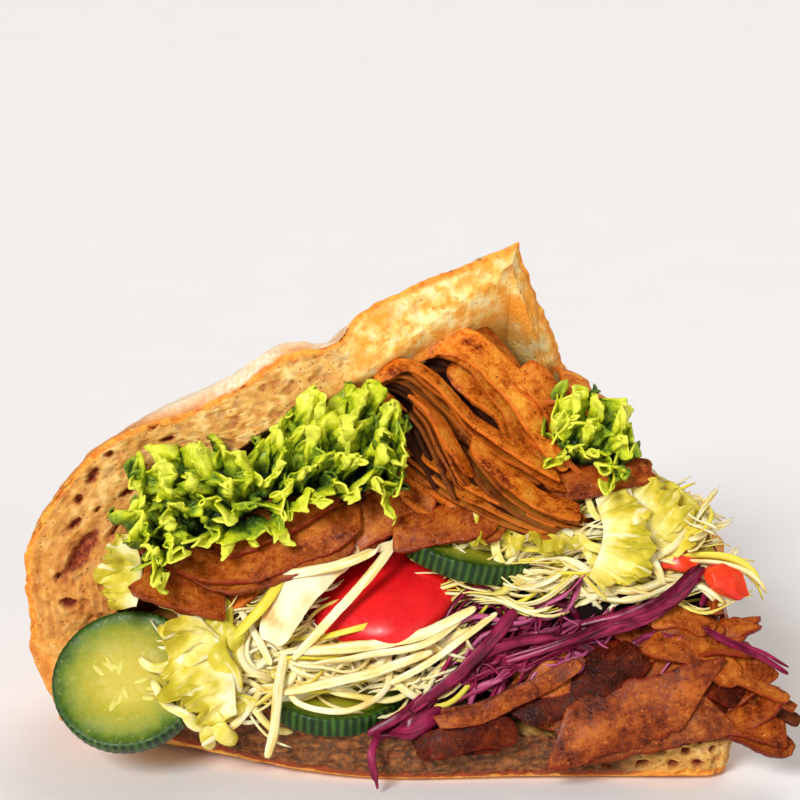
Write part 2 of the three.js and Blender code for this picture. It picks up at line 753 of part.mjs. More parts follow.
// Shreds that stand out of the heaps: a width, and a route through the mouth.
const RED_SHREDS = [
  [4.5, [[31, 47, 4], [24, 40, 7], [15, 32, 7], [2, 22, 5]]],
  [7, [[84, 58, 5], [68, 49, 7], [50, 44, 7], [31, 37, 4]]],
  [3, [[13, 27, 3], [26, 38, 6], [44, 40, 5], [56, 34, 1]]],
  [6, [[-8, 15, 4], [2, 18, 5], [11, 21, 2]]],
  [3, [[-6, 18, 3], [-9, 12, 6], [-8, 3, 5]]],
];
const WHITE_SHREDS = [
  [3, [[-1, 66, 3], [-8, 59, 9], [-21, 46, 9], [-31, 35, 5]]],
  [3.5, [[-45, 55, 4], [-35, 57, 8], [-18, 60, 9], [-3, 64, 4]]],
  [3, [[62, 79, 2], [66, 68, 7], [73, 53, 3]]],
  [3, [[82, 69, 1], [74, 63, 6], [62, 57, 2]]],
  [5, [[-33, 37, 3], [-35, 28, 8], [-36, 18, 8], [-38, 11, 6]]],
  [2.5, [[-40, 26, 2], [-46, 20, 6], [-56, 14, 6]]],
  [2.5, [[-33, 30, 2], [-30, 24, 7], [-16, 22, 8], [-5, 27, 7], [-4, 35, 3]]],
];
const namedShreds = (list) => list.map(([width, route]) => shred(route.map(inMouth), width, [0.1, -1, 0.4]));

function addRedCabbage(group) {
  const core = heapCore({
    low: [[6, 24], [40, 32], [84, 45]],
    high: [[6, 35], [45, 46], [84, 55]],
    far: [[6, 36], [84, 46]],
    inset: 2,
    seed: 3,
  });
  const loose = strewnShreds(FRONT, {
    count: 16,
    seed: 21,
    along: [16, 66],
    up: [27, 47],
    lean: [0.1, 0.8],
    length: [26, 46],
    width: [2.5, 4.5],
    proud: [1, 5],
  });
  addHeap(group, 'red_cabbage', redCabbage, core, [...namedShreds(RED_SHREDS), ...loose]);
}

function addWhiteCabbage(group) {
  const core = heapCore({
    low: [[-80, 30], [-50, 19], [-20, 18], [8, 36], [50, 48], [84, 51]],
    high: [[-80, 42], [-50, 50], [-20, 58], [20, 62], [50, 69], [84, 70]],
    far: [[-80, 36], [-50, 72], [-20, 88], [20, 94], [50, 92], [84, 84]],
    inset: 4,
    seed: 7,
    steps: 10,
  });
  const middle = strewnShreds(FRONT, {
    count: 16,
    seed: 33,
    along: [-46, 20],
    up: [22, 47],
    lean: [-0.6, 0.8],
    length: [22, 44],
    width: [2.2, 4],
    proud: [1, 5],
  });
  const right = strewnShreds(FRONT, {
    count: 10,
    seed: 57,
    along: [22, 78],
    up: [50, 62],
    lean: [-0.4, 0.6],
    length: [22, 40],
    width: [2.2, 3.6],
    proud: [1, 5],
  });
  const left = strewnShreds(FRONT, {
    count: 7,
    seed: 71,
    along: [-72, -44],
    up: [20, 42],
    lean: [-1.2, 0.6],
    length: [20, 34],
    width: [2.2, 4],
    proud: [3, 8],
  });
  const side = strewnShreds(RIGHT, {
    count: 6,
    seed: 90,
    along: [42, 70],
    up: [55, 66],
    lean: [-0.5, 0.5],
    length: [16, 30],
    width: [2.2, 3.6],
    proud: [6, 11],
  });
  addHeap(group, 'white_cabbage', whiteCabbage, core, [
    ...namedShreds(WHITE_SHREDS),
    ...middle,
    ...right,
    ...left,
    ...side,
  ]);
}

// Slices fused to the right-hand ends of the two meat heaps: a width, the way it faces, and a route.
const BOTTOM_END_SLICES = [
  [14, [1, -0.2, 0.2], [[22, 24, 1], [36, 30, 2], [50, 25, 2], [62, 27, 1]]],
  [12, [1, 0, 0.5], [[34, 37, 1], [50, 38, 3], [68, 34, 1]]],
  [11, [1, 0.1, 0.3], [[48, 21, 2], [62, 22, 3], [76, 28, -1]]],
];
const TOP_END_SLICES = [
  [11, [0.5, 0, 0.85], [[46, 89, 0], [58, 92, 1], [72, 88, 0]]],
  [9, [0.5, 0, 0.85], [[42, 99, -6], [56, 102, -5], [70, 97, -7]]],
];

function addMeatHeaps(group) {
  const endSlices = (list) =>
    list.map(([width, face, route], order) => carvedSlice(route.map(onSide), width, face, order));
  const bottom = heapCore({
    low: [[8, 17], [40, 16.5], [88, 17]],
    high: [[8, 30], [45, 41], [88, 46]],
    far: [[8, 90], [50, 93], [88, 82]],
    inset: 3,
    seed: 11,
    steps: 6,
  });
  const top = heapCore({
    low: [[-62, 52], [-20, 62], [20, 66], [66, 72]],
    high: [[-62, 62], [-20, 88], [16, 112], [66, 84]],
    far: [[-62, 60], [-20, 84], [20, 94], [66, 92]],
    inset: 4,
    seed: 13,
    steps: 10,
  });
  addHeap(group, 'kebab_meat_bottom', carvedMeat, bottom, endSlices(BOTTOM_END_SLICES));
  addHeap(group, 'kebab_meat_top', carvedMeat, top, endSlices(TOP_END_SLICES));
}

// ---------- the sandwich ----------

const sandwich = new THREE.Group();
const fillings = new THREE.Group();
sandwich.add(fillings);

add(sandwich, 'flatbread', crumbAndCrust, flatbread());
addCucumber(fillings);
addTomato(fillings);
addCarvedSlices(fillings);
addFrillyLettuce(fillings);
addPaleLeaves(fillings);
addRedCabbage(fillings);
addWhiteCabbage(fillings);
addMeatHeaps(fillings);

// Under the middle of the box, on the table.
const box = new THREE.Box3().setFromObject(sandwich, true);
const middle = box.getCenter(v3(0, 0, 0));
sandwich.position.set(-middle.x, -middle.y, -box.min.z);

export default sandwich;
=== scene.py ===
# %% [markdown]
# # A doner kebab sandwich, dressed in Blender
# A wedge of thick flatbread lies on its lower leaf. Its lifted leaf leans back over carved meat,
# frilly lettuce, shredded cabbage, cucumber and tomato. The solid model says where each piece is
# and how large it is. This lesson gives every piece its real surface.
# We load the solid model first. Nothing in it is moved: each new piece takes the place of one or
# more of its solids.

# %% Load the fixed frame
import itertools
import math

import bpy
import numpy as np
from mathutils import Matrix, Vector


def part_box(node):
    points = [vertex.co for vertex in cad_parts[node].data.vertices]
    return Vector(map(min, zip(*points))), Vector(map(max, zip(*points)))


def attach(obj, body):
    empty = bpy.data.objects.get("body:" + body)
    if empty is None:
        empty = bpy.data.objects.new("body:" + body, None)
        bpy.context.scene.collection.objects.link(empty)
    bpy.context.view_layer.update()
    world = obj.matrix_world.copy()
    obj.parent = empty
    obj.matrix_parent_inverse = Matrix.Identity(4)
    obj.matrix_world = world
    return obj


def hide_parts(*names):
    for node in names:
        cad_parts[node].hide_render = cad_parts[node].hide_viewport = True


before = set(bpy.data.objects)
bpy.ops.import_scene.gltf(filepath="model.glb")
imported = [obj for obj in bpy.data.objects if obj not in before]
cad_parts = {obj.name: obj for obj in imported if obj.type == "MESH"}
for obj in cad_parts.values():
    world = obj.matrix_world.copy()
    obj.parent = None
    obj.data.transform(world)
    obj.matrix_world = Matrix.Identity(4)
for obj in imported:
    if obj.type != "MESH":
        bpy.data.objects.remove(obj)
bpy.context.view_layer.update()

# %% [markdown]
# The recipe below is written in millimetres, from the front edge of the lower leaf. The solids
# were moved so that the middle of their box is the origin. One slice of cucumber tells how far:
# we know where its middle is in the recipe, and we measure where it is now.

# %% From the recipe's millimetres to the frame's metres
MM = 0.001
CUCUMBER_MIDDLE = np.array([-77.0, 7.0, 28.0])
low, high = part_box("cucumber_slice_left")
SHIFT = np.array((low + high) / 2) / MM - CUCUMBER_MIDDLE
print("recipe to frame, mm:", SHIFT.round(2))

# The fillings lean back from the front edge of the lower leaf, by this much for each mm of height.
MOUTH_FOOT, MOUTH_SLOPE, MOUTH_BED = 18.0, 0.49, 3.0
# The right cut side leans in from the edge of the lower leaf.
SIDE_FOOT, SIDE_SLOPE, SIDE_REACH = 12.0, 0.46, 95.0


def in_mouth(x, z, proud=0.0):
    """Places among the fillings: across, up, and how far they stand proud of the leaning front."""
    y = MOUTH_SLOPE * (np.asarray(z) - MOUTH_FOOT) + MOUTH_BED - proud
    return np.stack(np.broadcast_arrays(x, y, z), axis=-1)


def on_side(y, z, proud=0.0):
    """Places on the right cut side: back, up, and how far they stand proud of the leaning side."""
    x = SIDE_REACH - SIDE_SLOPE * (np.asarray(z) - SIDE_FOOT) + proud
    return np.stack(np.broadcast_arrays(x, y, z), axis=-1)


def line_through(opening, places):
    """The points of a route given as (across, up, proud) on one of the two open sides."""
    return opening(*np.array(places, float).T)


# %% [markdown]
# ## Lines and noise
# Guide lines run smoothly through a few points. The curve is a Catmull-Rom spline: between two
# points it bends as the points on either side ask. The same formula draws one line, or a whole
# row of lines side by side.
# Food is never even, so we also need heights that wander smoothly. The noise here gives each
# corner of a grid of cells a fixed value and blends between the corners, so it comes out the same
# on every run.

# %% Smooth lines
def spline(knots, shares):
    """Points on the curve through `knots` at these shares of its length in knots, from 0 to 1."""
    knots = np.asarray(knots, float)
    ends = (2 * knots[0] - knots[1], 2 * knots[-1] - knots[-2])
    padded = np.concatenate([ends[:1], knots, ends[1:]])
    place = np.clip(np.asarray(shares, float), 0, 1) * (len(knots) - 1)
    span = np.minimum(place.astype(int), len(knots) - 2)
    t = (place - span).reshape(-1, *([1] * (knots.ndim - 1)))
    p0, p1, p2, p3 = (padded[span + k] for k in range(4))
    gap = lambda a, b: np.maximum(np.linalg.norm(b - a, axis=-1, keepdims=True) ** 0.5, 1e-4)
    d0, d1, d2 = gap(p0, p1), gap(p1, p2), gap(p2, p3)
    leave = ((p1 - p0) / d0 - (p2 - p0) / (d0 + d1) + (p2 - p1) / d1) * d1
    arrive = ((p2 - p1) / d1 - (p3 - p1) / (d1 + d2) + (p3 - p2) / d2) * d1
    square, cube = t**2, t**3
    return (
        p1 * (2 * cube - 3 * square + 1)
        + leave * (cube - 2 * square + t)
        + p2 * (3 * square - 2 * cube)
        + arrive * (cube - square)
    )


def by_length(knots, shares, fine=200):
    """The same curve, read by shares of its real length."""
    steps = np.linspace(0, 1, fine + 1)
    walk = spline(knots, steps)
    run = np.concatenate([[0], np.cumsum(np.linalg.norm(np.diff(walk, axis=0), axis=1))])
    return spline(knots, np.interp(np.asarray(shares) * run[-1], run, steps))


def unit(vectors):
    """The same directions, each one long."""
    return vectors / np.maximum(np.linalg.norm(vectors, axis=-1, keepdims=True), 1e-9)


def blend(first, second, share):
    return first + (second - first) * share


print("the middle of an arc, by its length:", by_length([(0, 0), (4, 3), (12, 0)], [0.5]).round(1))

# %% Smooth noise
# Large odd numbers that scramble the number of a corner.
SCRAMBLE, SCRAMBLE_AGAIN = (73856093, 19349663, 83492791), 1274126177


def wander(points, size, seed=0):
    """Smooth random heights between -1 and 1, with about `size` from bump to bump."""
    cell = np.asarray(points, float) / size + 17.3 * seed
    base = np.floor(cell).astype(np.int64)
    part = cell - base
    part = part * part * (3 - 2 * part)
    total = np.zeros(len(cell))
    for corner in itertools.product((0, 1), repeat=cell.shape[1]):
        key = ((base + corner) * SCRAMBLE[: cell.shape[1]]).sum(axis=1)
        key = (key ^ (key >> 13)) * SCRAMBLE_AGAIN
        value = ((key ^ (key >> 16)) & 0xFFFF) / 32767.5 - 1
        total += value * np.prod(np.where(corner, part, 1 - part), axis=1)
    return total


def bumps(points, *waves):
    """Waves of noise added up, each one (height, size, seed)."""
    return sum(height * wander(points, size, seed) for height, size, seed in waves)


def step(low, high, values):
    """0 below low, 1 above high, and a soft rise between."""
    t = np.clip((np.asarray(values, float) - low) / (high - low), 0, 1)
    return t * t * (3 - 2 * t)


print("heights at 4 places, 1 mm apart:", wander([[0, 0], [1, 0], [2, 0], [3, 0]], 5).round(2))

# %% [markdown]
# ## Tools for a piece
# Each piece starts as a plain primitive, such as a grid. Its points are then laid where the real
# surface runs, and modifiers such as Solidify and Bevel finish it. Everything is deselected first,
# because an operator acts on all that is selected.

# %% Making, finishing and naming a piece
def pick(*pieces):
    """Deselect everything, then select these pieces, the first one active."""
    bpy.ops.object.select_all(action="DESELECT")
    for piece in pieces:
        piece.select_set(True)
    bpy.context.view_layer.objects.active = pieces[0]


def named(name):
    """The primitive that was just added, under its own name."""
    piece = bpy.context.object
    piece.name = piece.data.name = name
    return piece


def blank_grid(name, columns, rows):
    """A flat grid with its own UV map, ready to be laid out, and its two shares u and v."""
    bpy.ops.object.select_all(action="DESELECT")
    bpy.ops.mesh.primitive_grid_add(x_subdivisions=columns, y_subdivisions=rows, size=1)
    piece = named(name)
    across, along = np.meshgrid(np.linspace(0, 1, columns + 1), np.linspace(0, 1, rows + 1))
    return piece, across.ravel(), along.ravel()


def spots(piece):
    """The piece's points, in metres, one row each."""
    values = np.empty(3 * len(piece.data.vertices), np.float32)
    piece.data.vertices.foreach_get("co", values)
    return values.reshape(-1, 3).astype(float)


def lay(piece, points_mm):
    """Put the piece's points at these places of the recipe."""
    metres = (np.asarray(points_mm) + SHIFT) * MM
    piece.data.vertices.foreach_set("co", metres.astype(np.float32).ravel())
    piece.data.update()


def recipe_spots(piece):
    """The piece's points in the recipe's millimetres."""
    return spots(piece) / MM - SHIFT


def normals(piece):
    """The way each point faces."""
    values = np.empty(3 * len(piece.data.vertices), np.float32)
    piece.data.vertex_normals.foreach_get("vector", values)
    return values.reshape(-1, 3).astype(float)


def push(piece, heights_mm):
    """Move each point along its own normal."""
    lay(piece, recipe_spots(piece) + normals(piece) * np.asarray(heights_mm)[:, None])


def note(piece, name, values):
    """Keep one number for each point, for the materials to read, or the same one for all."""
    layer = piece.data.attributes.get(name) or piece.data.attributes.new(name, "FLOAT", "POINT")
    layer.data.foreach_set("value", np.full(len(piece.data.vertices), values, np.float32))


def noted(piece, name):
    """The number that each point keeps under this name."""
    values = np.empty(len(piece.data.vertices), np.float32)
    piece.data.attributes[name].data.foreach_get("value", values)
    return values.astype(float)


def true_size_map(piece, across_mm, along_mm):
    """A UV map in metres, so that a pattern has its real scale on every strip."""
    corners = np.empty(len(piece.data.loops), np.int32)
    piece.data.loops.foreach_get("vertex_index", corners)
    flat = np.column_stack([across_mm.ravel(), along_mm.ravel()])[corners] * MM
    piece.data.uv_layers[0].data.foreach_set("uv", flat.astype(np.float32).ravel())


def apply(piece, kind, **settings):
    """Add a modifier, set it and apply it."""
    pick(piece)
    modifier = piece.modifiers.new(kind.title(), kind)
    for key, value in settings.items():
        setattr(modifier, key, value)
    bpy.ops.object.modifier_apply(modifier=modifier.name)


def close_seams(piece, fill=False):
    """Merge the points that meet, fill the open ends if asked, and turn every face outwards."""
    pick(piece)
    bpy.ops.object.mode_set(mode="EDIT")
    bpy.ops.mesh.select_all(action="SELECT")
    bpy.ops.mesh.remove_doubles(threshold=0.01 * MM)
    if fill:
        bpy.ops.mesh.select_mode(type="EDGE")
        bpy.ops.mesh.select_all(action="DESELECT")
        bpy.ops.mesh.select_non_manifold(extend=False)
        bpy.ops.mesh.fill(use_beauty=True)
        bpy.ops.mesh.select_all(action="SELECT")
    bpy.ops.mesh.normals_make_consistent(inside=False)
    bpy.ops.object.mode_set(mode="OBJECT")


def join(name, pieces):
    """Many pieces made one, as copies of a repeated thing are."""
    pick(*pieces)
    if len(pieces) > 1:
        bpy.ops.object.join()
    piece = bpy.context.object
    piece.name = piece.data.name = name
    return piece


def serve(piece, material, slot, *nodes):
    """Smooth the piece, give it its material, and let it stand for its solids."""
    pick(piece)
    bpy.ops.object.shade_smooth()
    piece.data.materials.clear()
    piece.data.materials.append(material)
    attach(piece, "root")
    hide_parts(*nodes)
    triangles = sum(len(face.vertices) - 2 for face in piece.data.polygons)
    print(f"{piece.name}: {triangles} triangles")


def serve_all(node, parts, material, slot):
    """Join the parts of one piece and serve it under its node's name."""
    serve(join(node + "_dressed", parts), material, slot, node)


# %% [markdown]
# ## Tools for a material
# A material is a small network of nodes. These helpers add one node each, so that a recipe for a
# surface reads from top to bottom: a pattern, the colours that it picks, and how they are mixed.
# Colours are given as screen values from 0 to 255. The helpers turn them into the linear values that
# the renderer works with. A pattern that several materials use is a node group: it is built once,
# and placed in each of them with its own values.

# %% Colour and node helpers
def tone(red, green, blue):
    """A screen colour from 0 to 255 as linear light."""
    linear = (((c / 255 + 0.055) / 1.055) ** 2.4 if c > 10 else c / 3295 for c in (red, green, blue))
    return (*linear, 1.0)


class Surface:
    """A new material and short names for the nodes that it is built from."""

    def __init__(self, name, **settings):
        self.material = bpy.data.materials.new(name)
        self.material.use_nodes = True
        self.tree = self.material.node_tree
        self.shader = self.tree.nodes["Principled BSDF"]
        for socket, value in settings.items():
            self.shader.inputs[socket.replace("_", " ")].default_value = value
        self.find_places()

    def find_places(self):
        """Where each point lies on the piece, and where on its own map."""
        self.here = self.node("TexCoord").outputs["Object"]
        self.map = self.node("UVMap").outputs["UV"]

    def put(self, target, value):
        """Link a node's output to this input, or set it to a number or a colour."""
        if isinstance(value, bpy.types.NodeSocket):
            self.tree.links.new(value, target)
        else:
            target.default_value = value

    def node(self, kind, **inputs):
        """A new node with these inputs."""
        node = self.tree.nodes.new("ShaderNode" + kind)
        for name, value in inputs.items():
            self.put(node.inputs[name.replace("_", " ")], value)
        return node

    def noted(self, name):
        """The number that each point of the piece keeps under this name."""
        node = self.node("Attribute")
        node.attribute_name = name
        return node.outputs["Fac"]

    def stretch(self, where, scale):
        return self.node("Mapping", Vector=where, Scale=scale).outputs["Vector"]

    def noise(self, size_mm, detail=3.0, rough=0.55, where=None, warp=0.0):
        where = self.here if where is None else where
        node = self.node("TexNoise", Vector=where, Scale=1 / (size_mm * MM), Detail=detail)
        self.put(node.inputs["Roughness"], rough)
        self.put(node.inputs["Distortion"], warp)
        return node.outputs["Fac"]

    def cells(self, size_mm, where=None, feature="F1"):
        where = self.here if where is None else where
        node = self.node("TexVoronoi", Vector=where, Scale=1 / (size_mm * MM))
        node.feature = feature
        return node.outputs["Distance"]

    def ramp(self, value, *stops):
        """Colours, or greys given as one number, at these places of the value."""
        node = self.node("ValToRGB", Fac=value)
        ends = node.color_ramp.elements
        for number, (place, colour) in enumerate(stops):
            stop = ends[number] if number < 2 else ends.new(place)
            stop.position = place
            stop.color = tone(*colour) if isinstance(colour, tuple) else (colour, colour, colour, 1)
        return node.outputs["Color"]

    def mix(self, amount, first, second, way="MIX"):
        node = self.node("Mix")
        node.data_type = "RGBA"
        node.blend_type = way
        for number, value in ((0, amount), (6, first), (7, second)):
            self.put(node.inputs[number], tone(*value) if isinstance(value, tuple) else value)
        return node.outputs[2]

    def sum(self, first, second, way="ADD"):
        node = self.node("Math")
        node.operation = way
        self.put(node.inputs[0], first)
        self.put(node.inputs[1], second)
        return node.outputs[0]

    def times(self, first, second):
        return self.sum(first, second, "MULTIPLY")

    def swing(self, value, amount):
        """A value that lies round 0.5, as a swing round 0 of this amount."""
        return self.times(self.sum(value, 0.5, "SUBTRACT"), amount)

    def window(self, value, low, high):
        """0 to 1 as the value goes from low to high, or back if low is the higher."""
        node = self.node("MapRange", Value=value, From_Min=low, From_Max=high)
        node.interpolation_type = "SMOOTHSTEP"
        return node.outputs["Result"]

    def bump(self, height, depth_mm, strength=1.0):
        return self.node("Bump", Height=height, Distance=depth_mm * MM, Strength=strength).outputs["Normal"]

    def use(self, group, **inputs):
        """The outputs of a shared pattern, placed in this material with its own values."""
        node = self.tree.nodes.new("ShaderNodeGroup")
        node.node_tree = group
        for socket, value in inputs.items():
            node.inputs[socket].default_value = value
        return node.outputs

    def finish(self, colour, roughness=None, normal=None):
        """Feed the shader, and give back the finished material."""
        self.put(self.shader.inputs["Base Color"], colour)
        if roughness is not None:
            self.put(self.shader.inputs["Roughness"], roughness)
        if normal is not None:
            self.put(self.shader.inputs["Normal"], normal)
        return self.material


print("mid grey on the screen is this much light:", round(tone(128, 128, 128)[0], 3))


# %% Shared patterns
class Shared(Surface):
    """A pattern that several materials use: a node group with named inputs and outputs."""

    def __init__(self, name, **inputs):
        self.tree = bpy.data.node_groups.new(name, "ShaderNodeTree")
        for socket, value in inputs.items():
            new = self.tree.interface.new_socket(socket, in_out="INPUT", socket_type="NodeSocketFloat")
            new.default_value = value
        self.given = self.tree.nodes.new("NodeGroupInput").outputs
        self.find_places()

    def give(self, **outputs):
        """Name what the group puts out, and hand it over."""
        for socket in outputs:
            self.tree.interface.new_socket(socket, in_out="OUTPUT", socket_type="NodeSocketFloat")
        out = self.tree.nodes.new("NodeGroupOutput")
        for socket, value in outputs.items():
            self.put(out.inputs[socket], value)
        print(self.tree.name, "puts out:", ", ".join(outputs))
        return self.tree


# %% [markdown]
# ## The flatbread
# The bread is a quarter of a round loaf, slit open from its two cut sides. Every upright section
# of it is a C: along the underside, round the crusty heel, over the lifted leaf to its crust edge,
# across the cut crumb, and back round the inside of the pocket. We draw five guide lines along the
# loaf, set a C between them at many places, and pull one grid over all the sections. Box modelling
# would not hold both the crisp cut edges and the long soft dome.

# %% Guide lines of the bread
POINT_SHARE = 0.64  # share of the cut edges that lies left of the point of the quarter


def cut_edge(front, side):
    """A guide line with a corner at the point of the quarter, smooth on both sides of it."""

    def at(shares):
        on_front = by_length(front, np.minimum(shares / POINT_SHARE, 1))
        past = by_length(side, np.maximum((shares - POINT_SHARE) / (1 - POINT_SHARE), 0))
        return np.where((shares <= POINT_SHARE)[:, None], on_front, past)

    return at


upper_rim = cut_edge(
    [
        (-107, 26, 34), (-107, 25, 62), (-90, 27, 87), (-75, 30, 96), (-60, 33, 100),
        (-46, 36, 107), (-34, 38, 114.5), (-19, 39, 119), (-13, 41, 126), (32.5, 51, 145),
    ],
    [(32.5, 51, 145), (43, 62, 113), (58, 79, 80), (96, 98, 36)],
)
upper_lip = cut_edge(
    [(-84, 25, 32), (-80, 25, 45), (-70, 26, 67), (-40, 31, 93), (-15, 34, 106), (31, 46, 140)],
    [(31, 46, 140), (39, 55, 112), (53, 71, 79), (86, 88, 33)],
)
lower_lip = cut_edge(
    [(-86, 24, 31), (-62, 14, 25), (-15, 1, 16), (40, 1, 14), (92, 1, 12)],
    [(92, 1, 12), (94, 50, 14), (86, 86, 28)],
)
lower_rim = cut_edge(
    [(-98, 26, 12), (-63, 14, 5), (-15, 1, 0.8), (40, 1, 0.8), (91, 1, 0.8)],
    [(91, 1, 0.8), (95, 50, 0.8), (95, 94, 8)],
)
heel_line = cut_edge(
    [(-107, 33, 27), (-101, 62, 28), (-74, 96, 28), (-30, 117, 28), (24, 124, 28)],
    [(24, 124, 28), (62, 120, 27), (97, 101, 24)],
)

# %% [markdown]
# Each section bends the C between the guide lines. Where the pocket is shallow, at the two ends,
# the heel is thinner and the dome lower. The steps are close together where the knife cut, because
# the holes in the crumb are modelled there.

# %% The sections of the bread
FULL_DEPTH, HEEL_THICKNESS, THINNEST = 60, 18, 0.4
FOOT_INSET, DOME_RISE, HOLLOW, FLOOR_RISE = 17, 13, 4, 2
SEAM = 0.04  # share of the cut edge over which the slit runs out at each end
DOME_LIMIT = -107.5
RINGS = {"front": 400, "side": 96}
PATH = {"sole": 12, "outside": 62, "upper cut": 40, "inside": 52, "lower cut": 26}


def raised(points, heights):
    return np.column_stack([points[:, :2], heights])


shares = np.linspace(0, POINT_SHARE, RINGS["front"], endpoint=False)
shares = np.concatenate([shares, np.linspace(POINT_SHARE, 1, RINGS["side"])])
guides = (lower_rim, lower_lip, upper_rim, upper_lip, heel_line)
rim_low, lip_low, rim_up, lip_up, heel = (guide(shares) for guide in guides)
mouth = blend(lip_low, lip_up, 0.5)
inward = (mouth - heel) * (1, 1, 0)
inward /= np.linalg.norm(inward, axis=1, keepdims=True)
depth = np.minimum(1, np.linalg.norm(mouth - heel, axis=1, keepdims=True) / FULL_DEPTH)
upward = np.array([0, 0, 1])

foot = raised(heel + inward * (FOOT_INSET * depth + FLOOR_RISE), blend(rim_low[:, 2:] + 1, 0, depth))
sole = raised(blend(rim_low, foot, 0.5), blend(rim_low[:, 2:], 0, depth))
dome = blend(heel, rim_up, 0.5) + (upward - inward) * DOME_RISE * depth
dome[:, 0] = np.maximum(dome[:, 0], DOME_LIMIT)
inner_heel = heel + inward * HEEL_THICKNESS * blend(THINNEST, 1, depth)
closed = (1 - step(0, SEAM, np.minimum(shares, 1 - shares)))[:, None]
inner_heel = blend(inner_heel, mouth, 0.9 * closed)
inner_dome = blend(inner_heel, lip_up, 0.5) + (upward - inward) * HOLLOW * depth
inner_floor = blend(lip_low, inner_heel, 0.5)
inner_floor = raised(inner_floor, blend(inner_floor[:, 2:], lip_low[:, 2:] + FLOOR_RISE, depth))

routes = {
    "sole": [rim_low, sole, foot],
    "outside": [foot, heel, dome, rim_up],
    "upper cut": [rim_up, lip_up],
    "inside": [lip_up, inner_dome, inner_heel, inner_floor, lip_low],
    "lower cut": [lip_low, rim_low],
}
rows, regions, travel = [], [], []
for region, knots in routes.items():
    steps = np.linspace(0, 1, PATH[region], endpoint=False)
    rows.append(spline(np.array(knots), steps))
    regions += [region] * len(steps)
    travel += list(steps)
regions, travel = np.array(regions + ["sole"]), np.array(travel + [0])
skin = np.concatenate(rows + [rows[0][:1]]).transpose(1, 0, 2)

# Left of the loaf's shoulder the crust behind the cut edge falls away from it. To keep it there, it
# is held inside the edge, as seen by an eye that looks down on the front at this angle. Over the
# shoulder the crust swells a little above the edge.
VIEW_LEAN = math.radians(18)
SHOULDER, BEHIND_EDGE, FIRST_RISE = (-88, -66), 0.6, 8
SWELL, SWELL_ACROSS, SWELL_START, SWELL_STOP = 5.0, (-82, -64, -32, -14), (0.62, 0.88), (1.0, 0.94)
outside = regions == "outside"
outside = np.append(outside[:-1], False)
rise_of = lambda places: places[..., 2] * math.cos(VIEW_LEAN) + places[..., 1] * math.sin(VIEW_LEAN)
left_rim = rim_up[rim_up[:, 0] < -40]
rim_rise = rise_of(left_rim)
limit = np.interp(rise_of(skin), rim_rise, left_rim[:, 0]) + BEHIND_EDGE
left_of = (1 - step(*SHOULDER, skin[..., 0])) * outside
hidden = left_of * step(rim_rise[0], rim_rise[0] + FIRST_RISE, rise_of(skin))
skin[..., 0] = np.where(outside, blend(skin[..., 0], np.maximum(skin[..., 0], limit), hidden), skin[..., 0])
over = step(*SWELL_ACROSS[:2], skin[..., 0]) * (1 - step(*SWELL_ACROSS[2:], skin[..., 0])) * outside
near_rim = step(*SWELL_START, travel) * step(*SWELL_STOP, travel)
skin[..., 2] += SWELL * over * near_rim
skin[..., 1] -= 0.5 * SWELL * over * near_rim

# The crust edges are rounded, the toasted lip more so, and the corner of the lower leaf too.
EDGE_ROUND, EDGE_REACH = 1.3, 2.6
LIP_ROUND, LIP_REACH, LIP_ACROSS, LIP_UP = 4.5, 9, (-24, -6), (75, 95)
CORNER_X, CORNER_Y, CORNER_TOP = 83, 9, 22


def near_line(line, reach):
    """1 on this line of the skin, and falling to 0 within about `reach`."""
    return np.exp(-((np.linalg.norm(skin - line[:, None], axis=2, keepdims=True) / reach) ** 2))


for rim in (rim_low, rim_up):
    toward = (skin.mean(axis=1) - rim)[:, None]
    close = near_line(rim, EDGE_REACH)
    skin = skin + EDGE_ROUND * close * toward / np.linalg.norm(toward, axis=2, keepdims=True)
pressed = (step(*LIP_ACROSS, lip_up[:, 0]) * step(*LIP_UP, lip_up[:, 2]))[:, None, None]
close = near_line(lip_up, LIP_REACH)
toward = (dome - lip_up)[:, None]
skin = skin + LIP_ROUND * close * pressed * toward / np.linalg.norm(toward, axis=2, keepdims=True)
corner = (skin[..., 0] > CORNER_X) & (skin[..., 1] < CORNER_Y) & (skin[..., 2] < CORNER_TOP)
x_past, y_past = skin[corner, 0] - CORNER_X, CORNER_Y - skin[corner, 1]
turned = np.maximum(x_past, y_past) / np.maximum(np.hypot(x_past, y_past), 0.01)
skin[corner, 0], skin[corner, 1] = CORNER_X + x_past * turned, CORNER_Y - y_past * turned


def rounded_end(ring, before):
    """Sections that close the loaf with a low dome beyond `ring`."""
    angle = np.linspace(np.pi / 2, 0, END_RINGS, endpoint=False)[:, None, None]
    centre = ring.mean(axis=0)
    outward = unit(centre - before.mean(axis=0))
    return centre + (ring - centre) * np.cos(angle) + outward * END_BULGE * np.sin(angle)


END_RINGS, END_BULGE = 12, 2.5
skin = np.concatenate([rounded_end(skin[0], skin[5]), skin, rounded_end(skin[-1], skin[-6])[::-1]])
print("sections:", skin.shape[0], "points in each:", skin.shape[1] - 1)

# %% [markdown]
# The grid has one column for each place on the C and one row for each section. Its first and last
# columns meet under the loaf and are merged, and so are the points of its two closed ends. Before
# that, each point notes which face of the bread it is on, so that the later steps and the material
# know crust from crumb. It also notes how far it is from the crust, and how deep in the pocket.

# %% One grid over the sections
bread, _, _ = blank_grid("flatbread_dressed", skin.shape[1] - 1, skin.shape[0] - 1)
lay(bread, skin.reshape(-1, 3))


def on_sections(values, at_ends):
    """One value for each point, from one for each section and place, and one for the closed ends."""
    values = np.broadcast_to(values, (len(shares), len(regions)))
    ends = np.full((END_RINGS, len(regions)), float(at_ends))
    return np.concatenate([ends, values, ends])


